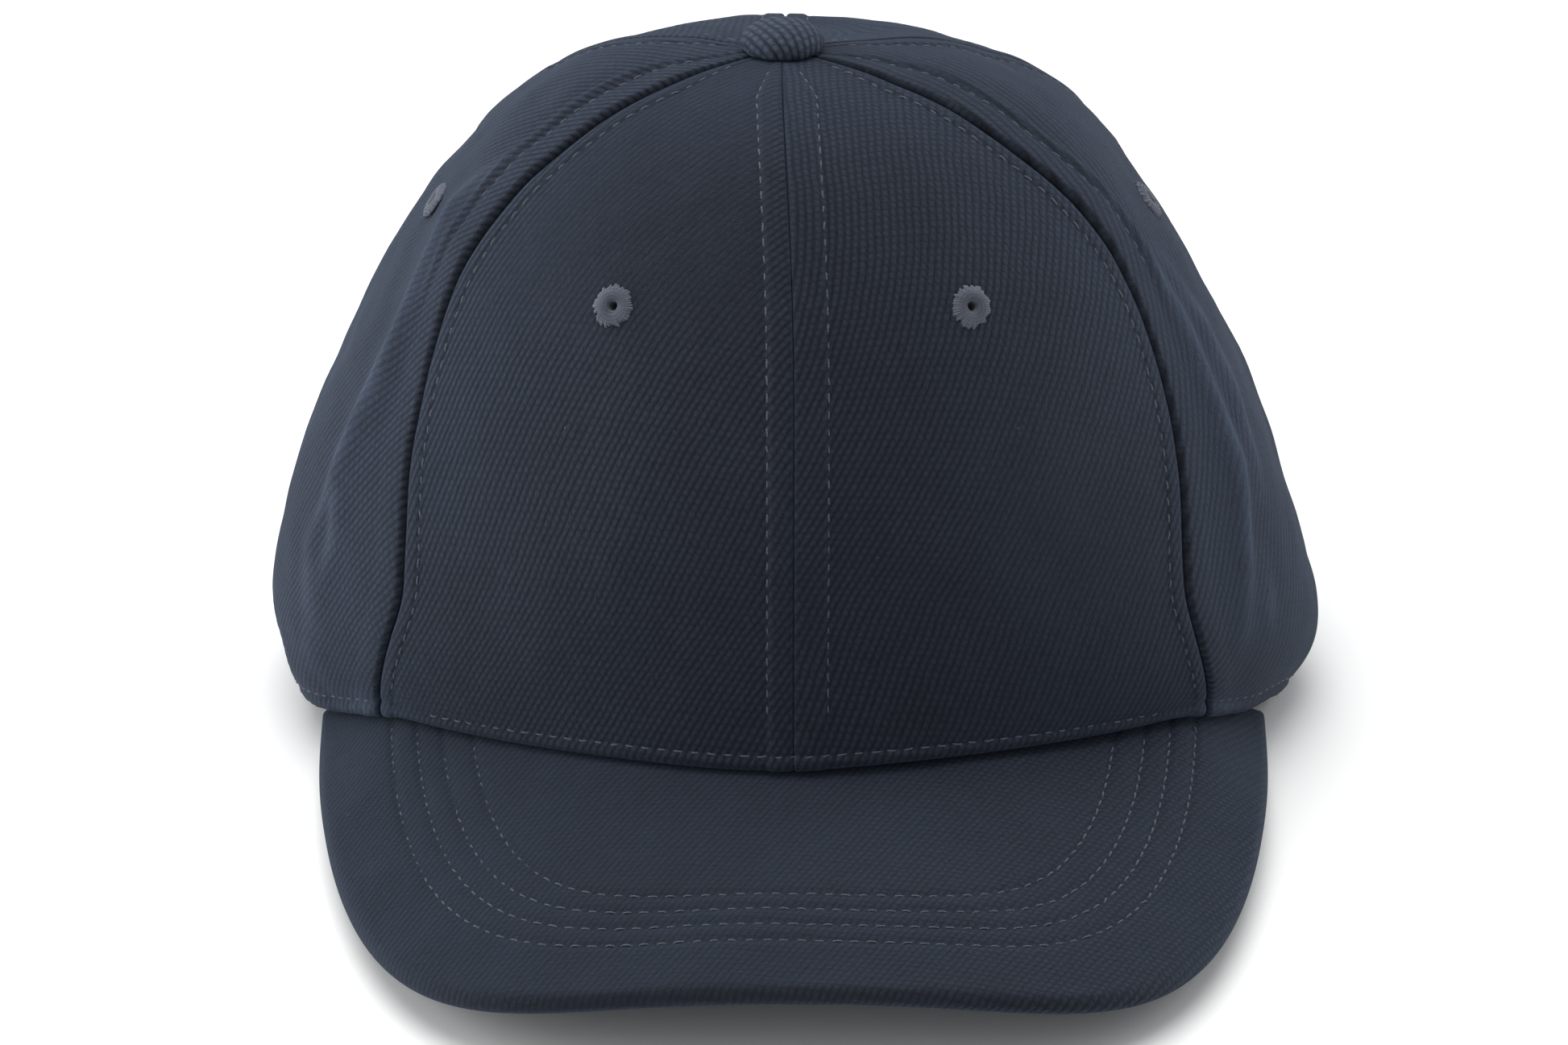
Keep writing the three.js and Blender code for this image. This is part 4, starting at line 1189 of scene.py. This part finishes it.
def bill_root(s):
    """The bill's inner edge in plan, tucked under the crown's rim."""
    u = s * BILL_END_AZIMUTH

    def rim(at):
        return np.stack([rim_radius(at) * np.sin(at), -rim_radius(at) * np.cos(at)], -1)

    tangent = unit(rim(u + 0.01) - rim(u - 0.01))
    inward = np.stack([-tangent[..., 1], tangent[..., 0]], -1)
    return rim(u) + inward * BILL_UNDER_CROWN


def even_steps(outline, count):
    """Parameters from -1 to 1 that are evenly spread along an outline."""
    fine = np.linspace(-1, 1, 6001)
    lengths = path_lengths(outline(fine))
    return np.interp(np.linspace(0, lengths[-1], count), lengths, fine)


def row_distance(x, y, half_width, front):
    """Roughly the distance of a point from a row of the bill's stitches."""
    depth = BILL_ROW_CORNER_Y - front
    across = np.abs(x) / half_width
    forward = np.maximum(BILL_ROW_CORNER_Y - y, 0) / depth
    value = across ** BILL_ROW_SIDE_POWER + forward ** BILL_ROW_FRONT_POWER
    slope_x = BILL_ROW_SIDE_POWER * across ** (BILL_ROW_SIDE_POWER - 1) / half_width
    slope_y = BILL_ROW_FRONT_POWER * forward ** (BILL_ROW_FRONT_POWER - 1) / depth
    return (value - 1) / (np.hypot(slope_x, slope_y) + 1e-6)


def bill_relief(x, y):
    """The cover lies soft over the board and is drawn down along each row of stitches."""
    height = 0.18 * ripple(np.stack([x, y, 0 * x], -1), 26, 41)
    height += 0.05 * ripple(np.stack([x, y, 0 * x], -1), 9, 42)
    for half_width, front in zip(BILL_ROW_HALF_WIDTHS, BILL_ROW_FRONTS):
        height += groove(row_distance(x, y, half_width, front), 0, 0.32, 0.75)
    return height


def bill_surface(x, y, depth=0.0):
    return np.stack([x, y + CROWN_Y, bill_height(x, y) - depth], -1)


def bill_section(runs, edge):
    """Grid over the bill. runs are shares of the way from root to edge, and edge is a list of
    [inset, depth] that carries on round the edge. Returns points and flat-cloth coordinates."""
    s = even_steps(bill_edge, 330)[:, None]
    rim = bill_edge(s[:, 0])
    root = bill_root(np.linspace(-1, 1, len(s)))
    span = np.linalg.norm(rim - root, axis=-1)
    scale = np.minimum(1, span / 14)
    thinner = 1 - 0.3 * smooth(np.abs(s[:, 0]), 0.95, 1)
    first_inset = max(inset for inset, _ in edge)
    rows = []
    flats = []
    for run, depth, lift in runs:
        t = run * (1 - first_inset * scale / span)
        plan = root + (rim - root) * t[:, None]
        z = bill_height(plan[:, 0], plan[:, 1]) - depth * thinner
        z = z + lift * bill_relief(plan[:, 0], plan[:, 1])
        rows.append(np.stack([plan[:, 0], plan[:, 1] + CROWN_Y, z], -1))
        flats.append(plan)
    outward = (rim - root) / span[:, None]
    travelled = 0.0
    last = None
    for inset, depth in edge:
        t = 1 - inset * scale / span
        plan = root + (rim - root) * t[:, None]
        z = bill_height(plan[:, 0], plan[:, 1]) - depth * thinner
        rows.append(np.stack([plan[:, 0], plan[:, 1] + CROWN_Y, z], -1))
        if last is not None:
            travelled += math.hypot(inset - last[0], depth - last[1])
        last = (inset, depth)
        start = root + (rim - root) * (1 - edge[0][0] * scale / span)[:, None]
        flats.append(start + outward * travelled)
    return np.array(rows), np.array(flats)


def bill_cloth(flat):
    """Flat-cloth coordinates from places in plan: across the arch the cloth is longer than its plan."""
    x = np.linspace(-BILL_HALF_WIDTH - 5, BILL_HALF_WIDTH + 5, 400)
    lengths = path_lengths(np.stack([x, bill_height(x, np.full_like(x, -110.0))], -1))
    along = np.interp(flat[..., 0], x, lengths)
    return turned(np.stack([along, flat[..., 1]], -1), BILL_WALE_DEGREES).reshape(-1, 2)


def arc(centre, radius, count):
    """[inset, depth] points round the bill's edge, from its upper face to its lower one."""
    angles = np.linspace(math.pi / 2, -math.pi / 2, count)
    return [[centre - radius * math.cos(a), centre - radius * math.sin(a)] for a in angles]


def bill_top_cover():
    half = BILL_THICKNESS / 2
    runs = [(run, 0.0, 1.0) for run in np.linspace(0, 1, 74)]
    outer = bill_section(runs, arc(half, half, 13)[1:] + [[half + 0.8, BILL_THICKNESS]])
    inner_runs = [(run, BILL_COVER, 1.0) for run in np.linspace(0, 1, 74)]
    thin = half - BILL_COVER
    inner = bill_section(inner_runs, arc(half, thin, 13)[1:] + [[half + 0.8, half + thin]])
    points, faces = shell(outer[0][:, ::-1], inner[0][:, ::-1])
    flat = outer[1][:, ::-1]
    nap = (0.8 - 0.7 * smooth(flat[..., 0], -30, 60)).ravel()
    add_piece("bill_top_cloth", points, turned_out(points, faces), SHADED_BILL_TWILL,
              stands_for=["bill_top_cover"], cloth=twice(bill_cloth(flat)),
              nap=twice(nap))


def bill_bottom_cover():
    low = BILL_THICKNESS
    runs = [(run, low, -0.8) for run in np.linspace(0, 1, 60)]
    outer = bill_section(runs, [[3.3, low - 0.05], [3.1, low - 0.3]])
    inner_runs = [(run, low - BILL_COVER, -0.8) for run in np.linspace(0, 1, 60)]
    inner = bill_section(inner_runs, [[3.3, low - 0.7], [3.15, low - 0.55]])
    points, faces = shell(outer[0], inner[0])
    add_piece("bill_bottom_cloth", points, turned_out(points, faces), SHADED_BILL_TWILL,
              stands_for=["bill_bottom_cover"], cloth=twice(bill_cloth(outer[1])))


def bill_row(half_width, front, under, seed):
    """A row of stitches on the bill's upper or lower face, from one side of the crown to the other."""
    s = np.linspace(-0.999, 0.999, 3000)
    plan = bill_outline(s, half_width, front, BILL_ROW_CORNER_Y,
                        BILL_ROW_SIDE_POWER, BILL_ROW_FRONT_POWER)
    azimuth = np.arctan2(plan[:, 0], -plan[:, 1])
    outside = np.hypot(plan[:, 0], plan[:, 1]) > rim_radius(azimuth) + 0.6
    plan = plan[outside]
    x = plan[:, 0]
    y = plan[:, 1]
    depth = BILL_THICKNESS if under else 0.0
    side = -1.0 if under else 1.0
    surface = bill_surface(x, y, depth)
    surface[:, 2] += 0.8 * side * bill_relief(x, y)
    if not under:
        surface[:, 2] -= BILL_ROW_SUNK * smooth(-x, 36, 52) * smooth(y, -116, -100)
    step = 0.5
    slope_x = (bill_height(x + step, y) - bill_height(x - step, y)) / (2 * step)
    slope_y = (bill_height(x, y + step) - bill_height(x, y - step)) / (2 * step)
    normal = unit(np.stack([-slope_x, -slope_y, np.ones_like(x)], -1)) * side
    return stitches(surface, normal, seed=seed)


bill_top_cover()
bill_bottom_cover()
bill_rows = []
for number, row in enumerate(zip(BILL_ROW_HALF_WIDTHS, BILL_ROW_FRONTS)):
    bill_rows.append(bill_row(*row, False, 50 + number))
    bill_rows.append(bill_row(*row, True, 60 + number))
add_stitches("bill_topstitching", bill_rows, THREAD)


# ==== Inside the crown ====

def inside_strip(name, u, v, depth, thickness, material, stands_for, keep=None, gathers=0.0):
    """A thin closed sheet inside the crown, from its outer depth inwards. It gives way to hollows."""
    wave = gathers * ripple(crown_surface(u, v), 7, 71)
    folds, _ = fold_relief(u, v)
    deep = depth + wave - np.minimum(folds, 0)
    normal = crown_normal(u, v)
    outer = crown_surface(u, v) - normal * deep[..., None]
    inner = crown_surface(u, v) - normal * (deep + thickness)[..., None]
    points, faces = shell(outer, inner, keep)
    widths = np.linalg.norm(np.diff(outer, axis=1), axis=-1)
    heights = np.linalg.norm(np.diff(outer, axis=0), axis=-1)
    x = np.pad(np.cumsum(widths, 1), ((0, 0), (1, 0)))
    y = np.pad(np.cumsum(heights, 0), ((1, 0), (0, 0)))
    cloth = np.stack([x, y], -1).reshape(-1, 2)
    return add_piece(name, points, turned_out(points, faces), material, stands_for=stands_for,
                     cloth=np.concatenate([cloth, cloth]))


def band(name, node, from_degrees, to_degrees, bottom, top, depth, thickness, material, slot):
    """A band round the rim. Towards the rear opening it moves inwards, behind the strap's ends."""
    u = np.radians(np.linspace(from_degrees, to_degrees, 420))[None, :]
    share = np.linspace(0, 1, 30)[:, None]
    v = station_at_height(u, bottom) * (1 - share) + station_at_height(u, top) * share
    u = np.broadcast_to(u, v.shape)
    inward = BAND_CLEARS_STRAP * smooth(np.abs(np.degrees(u)), 112, 136)
    return inside_strip(name, u, v, depth + inward, thickness, material, [node], gathers=0.12)


band("sweatband_cloth", "sweatband", -149, 149, 0.6, 32, 5.0, 1.2, LINING, "lining")
band("sweatband_backing_cloth", "sweatband_backing", -110, 110, 4, 26, 4.0, 0.6, BACKING, "buckram")
band("size_label_cloth", "size_label", -106, -94, 4, 20, 7.3, 0.4, LABEL, "label")


def seam_tape(name, line, depth, bottom):
    start = float(station_at_height(np.array([float(line(0.3))]), bottom)[0])
    v = np.linspace(start, 0.88, 120)[:, None]
    across = np.linspace(-TAPE_HALF_WIDTH, TAPE_HALF_WIDTH, 15)[None, :]
    u = line(v) + across / crown_speed(line(v), v)
    v = np.broadcast_to(v, u.shape)
    rounded = 0.25 * (across / TAPE_HALF_WIDTH) ** 4 + 0 * v
    inside_strip(name + "_cloth", u, v, depth + rounded - 0.1, 0.6, TAPE, [name])


for where, line, depth, bottom in (
        ("front", seam_front, FRONT_TAPE_DEPTH, RIM_ALLOWANCE),
        ("front_right", seam_front_right, FRONT_TAPE_DEPTH, RIM_ALLOWANCE),
        ("front_left", seam_front_left, FRONT_TAPE_DEPTH, RIM_ALLOWANCE),
        ("rear_right", seam_rear_right, REAR_TAPE_DEPTH, RIM_ALLOWANCE),
        ("rear_left", seam_rear_left, REAR_TAPE_DEPTH, RIM_ALLOWANCE),
        ("rear", seam_rear, REAR_TAPE_DEPTH, ARCH_HEIGHT + 9)):
    seam_tape("seam_tape_" + where, line, depth, bottom)


def buckram(name, left, right, eyelet):
    """The stiff mesh behind a front panel."""
    middle = float((left(0.3) + right(0.3)) / 2)
    v = np.linspace(float(station_at_height(np.array([middle]), 2)[0]), 0.87, 110)[:, None]
    share = np.linspace(0, 1, 70)[None, :]
    margin = 2.5 / crown_speed(middle, v)
    u = left(v) + margin + (right(v) - left(v) - 2 * margin) * share
    v = np.broadcast_to(v, u.shape)
    keep = ~cells_near(crown_surface(u, v), crown_surface(*eyelet), EYELET_CUT_RADIUS)
    inside_strip(name + "_mesh", u, v, np.full(u.shape, 1.75), 0.6, BUCKRAM, [name], keep)


buckram("buckram_left", seam_front_left, seam_front, (-EYELETS["front"][0], EYELETS["front"][1]))
buckram("buckram_right", seam_front, seam_front_right, EYELETS["front"])


# ==== The rear opening and its closure ====

def place_of(x, z):
    """(u, v) of the point on the crown's rear that stands at x and z, seen from behind."""
    u = np.full_like(x, math.pi)
    for _ in range(14):
        v = station_at_height(u, z)
        p = crown_surface(u, v)
        radius = np.hypot(p[..., 0], p[..., 1] - CROWN_Y)
        lean = p[..., 0] - radius * np.sin(u)
        u = math.pi - np.arcsin(np.clip((x - lean) / radius, -0.95, 0.95))
    return u, v


def binding_section():
    """The folded tape's section: over the cloth, round its edge, behind it and back inside the fold.
    Each point is its distance from the opening's edge and its height over the cloth's surface."""
    half = 1.7
    bend = np.linspace(math.pi / 2, 3 * math.pi / 2, 11)
    rolled = [[-0.1 + 1.2 * math.cos(a), -0.7 + half * math.sin(a)] for a in bend]
    over = [[6.2, 0.35], [6.0, 0.85], [4.6, 1.0], [2.5, 1.0], [1.0, 1.02]]
    behind = [[2.5, -2.4], [4.5, -2.4], [6.0, -2.3], [6.2, -1.9]]
    within = [[4.5, -1.85], [2.0, -1.8], [0.3, -1.75], [-0.2, -1.2], [-0.3, -0.6], [-0.2, 0.0],
              [0.4, 0.35], [2.0, 0.45], [4.5, 0.4]]
    return np.array(over + rolled + behind + within)


def arch_binding():
    """Cloth tape folded over the edge of the rear opening, and its row of stitches."""
    straight = ARCH_HEIGHT - ARCH_HALF_WIDTH
    side = np.linspace(1.2, straight, 14)
    wall = np.full(len(side), ARCH_HALF_WIDTH)
    turn = np.linspace(0, math.pi, 150)[1:-1]
    x = np.concatenate([wall, ARCH_HALF_WIDTH * np.cos(turn), -wall])
    z = np.concatenate([side, straight + ARCH_HALF_WIDTH * np.sin(turn), side[::-1]])
    u, v = place_of(x, z)
    centre = crown_surface(u, v)
    normal = crown_normal(u, v)
    tangent = unit(np.gradient(centre, axis=0))
    outward = unit(np.cross(tangent, normal))
    away = np.stack([x, 0 * x, z - straight], -1)
    outward = np.where(np.sum(outward * away, -1, keepdims=True) < 0, -outward, outward)
    level = unit(np.cross(outward, tangent))
    level = np.where(np.sum(level * normal, -1, keepdims=True) < 0, -level, level)
    section = binding_section()
    rings = centre[:, None] + outward[:, None] * section[None, :, :1]
    rings = rings + level[:, None] * section[None, :, 1:]
    pucker = 0.12 * ripple(rings, 5, 81)
    rings = rings + level[:, None] * pucker[..., None] * (section[None, :, 1:] > 0.5)
    lengths = path_lengths(centre)
    around = path_lengths(section)
    cloth = np.stack(np.broadcast_arrays(lengths[:, None], around[None, :]), -1)
    flat, faces = loft(rings)
    add_piece("arch_binding_cloth", flat, turned_out(flat, faces), CROWN_TWILL,
              stands_for=["rear_arch_binding"], cloth=turned(cloth, 50).reshape(-1, 2))
    row = centre + outward * 4.4 + level * 1.02
    return stitches(row, level, seed=82)


def on_arc(degrees, radius, z):
    angle = np.radians(degrees)
    y = STRAP_ARC_CENTRE_Y + radius * np.cos(angle)
    return np.stack(np.broadcast_arrays(radius * np.sin(angle), y, z), -1)


def rounded_section(half_width, half_thickness, count=6):
    """A flat strip's section with rounded long edges, as [out, up] points."""
    corner = half_width - half_thickness
    bend = np.linspace(0, math.pi, count + 2)[1:-1]
    face = [[half_thickness, z] for z in np.linspace(-corner, corner, 15)]
    edge = [[half_thickness * math.cos(a), corner + half_thickness * math.sin(a)] for a in bend]
    half = np.array(face + edge)
    return np.concatenate([half, -half])


def strap(name, path, out, half_thickness, body, stands_for, wale_degrees):
    """A folded cloth strap swept along a level path, with a row of stitches near each edge."""
    section = rounded_section(STRAP_WIDTH / 2, half_thickness)
    row = STRAP_WIDTH / 2 - STRAP_ROW_INSET
    dip = 0.12 * hump(np.abs(section[:, 1]) - row, 0.8) * np.sign(section[:, 0])
    rings = path[:, None] + out[:, None] * (section[:, 0] - dip)[None, :, None]
    rings = rings + np.array([0, 0, 1]) * section[None, :, 1:]
    rings = rings + out[:, None] * (0.07 * ripple(rings, 9, 91))[..., None]
    lengths = path_lengths(path)[:, None]
    cloth = np.stack(np.broadcast_arrays(lengths, path_lengths(section)[None, :]), -1)
    flat, faces = loft(rings)
    add_piece(name, flat, turned_out(flat, faces), CROWN_TWILL, body=body, stands_for=stands_for,
              cloth=turned(cloth, wale_degrees).reshape(-1, 2))
    rows = []
    for up in (-1, 1):
        for face in (-1, 1):
            edge = path + out * (half_thickness * face * 0.96) + np.array([0, 0, up * row])
            rows.append(stitches(edge, out * face, seed=92 + up + 3 * face))
    return rows


def adjusting_strap():
    degrees = np.linspace(STRAP_SEWN_END, STRAP_LOOSE_END, 200)
    path = on_arc(degrees, STRAP_ARC_RADIUS, STRAP_MIDDLE_Z)
    out = unit(path - STRAP_ARC_CENTRE)
    return strap("adjusting_strap_cloth", path, out, 0.6, "strap", ["adjusting_strap"], 48)


def buckle_strap():
    """The short strap, doubled round the buckle's bar and sewn inside the opening's right side."""
    bar_y = STRAP_ARC_CENTRE_Y + STRAP_ARC_RADIUS - BUCKLE_BAR_INSET
    outer = np.linspace(BUCKLE_STRAP_OUTER_END, BUCKLE_STRAP_TURN, 60)
    inner = np.linspace(BUCKLE_STRAP_TURN, BUCKLE_STRAP_INNER_END, 60)
    bend = np.linspace(math.pi / 2, 3 * math.pi / 2, 14)[1:-1]
    level = np.full(len(bend), STRAP_MIDDLE_Z)
    loop = np.stack([BUCKLE_BAR_X + 1.55 * np.cos(bend), bar_y + 1.35 * np.sin(bend), level], -1)
    path = np.concatenate([
        on_arc(outer, STRAP_ARC_RADIUS - BUCKLE_STRAP_OUTER_INSET, STRAP_MIDDLE_Z),
        loop,
        on_arc(inner, STRAP_ARC_RADIUS - BUCKLE_STRAP_INNER_INSET, STRAP_MIDDLE_Z),
    ])
    tangent = unit(np.gradient(path, axis=0))
    out = unit(np.cross(tangent, np.array([0, 0, 1.0])))
    if out[0] @ (path[0] - STRAP_ARC_CENTRE) < 0:
        out = -out
    return strap("buckle_strap_cloth", path, out, 0.5, "cap", ["buckle_strap"], 48)


add_stitches("binding_stitches", [arch_binding()], THREAD)
add_stitches("adjusting_strap_stitches", adjusting_strap(), THREAD, body="strap")
add_stitches("buckle_strap_stitches", buckle_strap(), THREAD)


def finish_cad_node(name, material, bevel):
    """A CAD node that keeps its shape gets softened edges and a full material."""
    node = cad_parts[name]
    node.data.materials.clear()
    node.data.materials.append(material)
    node.data.shade_smooth()
    edge = node.modifiers.new("softened edges", "BEVEL")
    edge.width = bevel * MM
    edge.segments = 2
    edge.limit_method = "ANGLE"
    edge.angle_limit = math.radians(30)
    edge.harden_normals = True


for metal_node in ("strap_tip", "buckle_frame", "buckle_lever", "buckle_pin",
                   "button_shell", "button_back"):
    finish_cad_node(metal_node, BRASS, 0.12)
finish_cad_node("bill_board", BOARD, 0.1)


# ==== Stage ====

def floor():
    mesh = bpy.data.meshes.new("floor")
    corners = [(FLOOR_SIZE * x, FLOOR_SIZE * y, 0) for x, y in ((-1, -1), (1, -1), (1, 1), (-1, 1))]
    mesh.from_pydata(corners, [], [(0, 1, 2, 3)])
    m = Material("pale_floor", roughness=0.8)
    m.set("Base Color", colour(250, 250, 249))
    mesh.materials.append(m.material)
    plane = bpy.data.objects.new("floor", mesh)
    bpy.context.scene.collection.objects.link(plane)


def area_light(name, place, size, power):
    """A large soft light that looks at the cap's middle."""
    data = bpy.data.lights.new(name, "AREA")
    data.shape = "DISK"
    data.size = size
    data.energy = power
    light = bpy.data.objects.new(name, data)
    bpy.context.scene.collection.objects.link(light)
    light.location = place
    light.rotation_mode = "QUATERNION"
    light.rotation_quaternion = (Vector(LIGHT_AIM) - Vector(place)).to_track_quat("-Z", "Y")


def camera():
    """The camera stands in front and a little above, far enough off for a long lens."""
    aim = Vector(CAMERA_AIM) * MM
    forward = Vector((0, math.cos(CAMERA_ELEVATION), -math.sin(CAMERA_ELEVATION)))
    up = Vector((0, math.sin(CAMERA_ELEVATION), math.cos(CAMERA_ELEVATION)))
    data = bpy.data.cameras.new("camera")
    data.lens = CAMERA_LENS
    data.sensor_width = 36
    data.clip_start = 0.05
    data.clip_end = 20
    view = bpy.data.objects.new("camera", data)
    bpy.context.scene.collection.objects.link(view)
    view.location = aim - forward * CAMERA_DISTANCE * MM
    below = up * CAMERA_LOOKS_BELOW_AIM * MM
    left = Vector((CAMERA_LOOKS_LEFT_OF_AIM * MM, 0, 0))
    look = aim - below - left - view.location
    view.rotation_mode = "QUATERNION"
    view.rotation_quaternion = look.to_track_quat("-Z", "Y")
    bpy.context.scene.camera = view


floor()
camera()
world = bpy.data.worlds.new("studio")
world.use_nodes = True
sky = world.node_tree.nodes["Background"]
sky.inputs["Color"].default_value = SKY_COLOUR
direction = world.node_tree.nodes.new("ShaderNodeTexCoord")
split = world.node_tree.nodes.new("ShaderNodeSeparateXYZ")
dimming = world.node_tree.nodes.new("ShaderNodeMapRange")
for limit, value in (("From Min", -1.0), ("From Max", 1.0), ("To Min", SKY_LEFT), ("To Max", SKY_RIGHT)):
    dimming.inputs[limit].default_value = value
world.node_tree.links.new(direction.outputs["Generated"], split.inputs[0])
world.node_tree.links.new(split.outputs["X"], dimming.inputs["Value"])
world.node_tree.links.new(dimming.outputs["Result"], sky.inputs["Strength"])
bpy.context.scene.world = world
bpy.context.scene.view_settings.view_transform = "Standard"
for light in LIGHTS:
    area_light(*light)
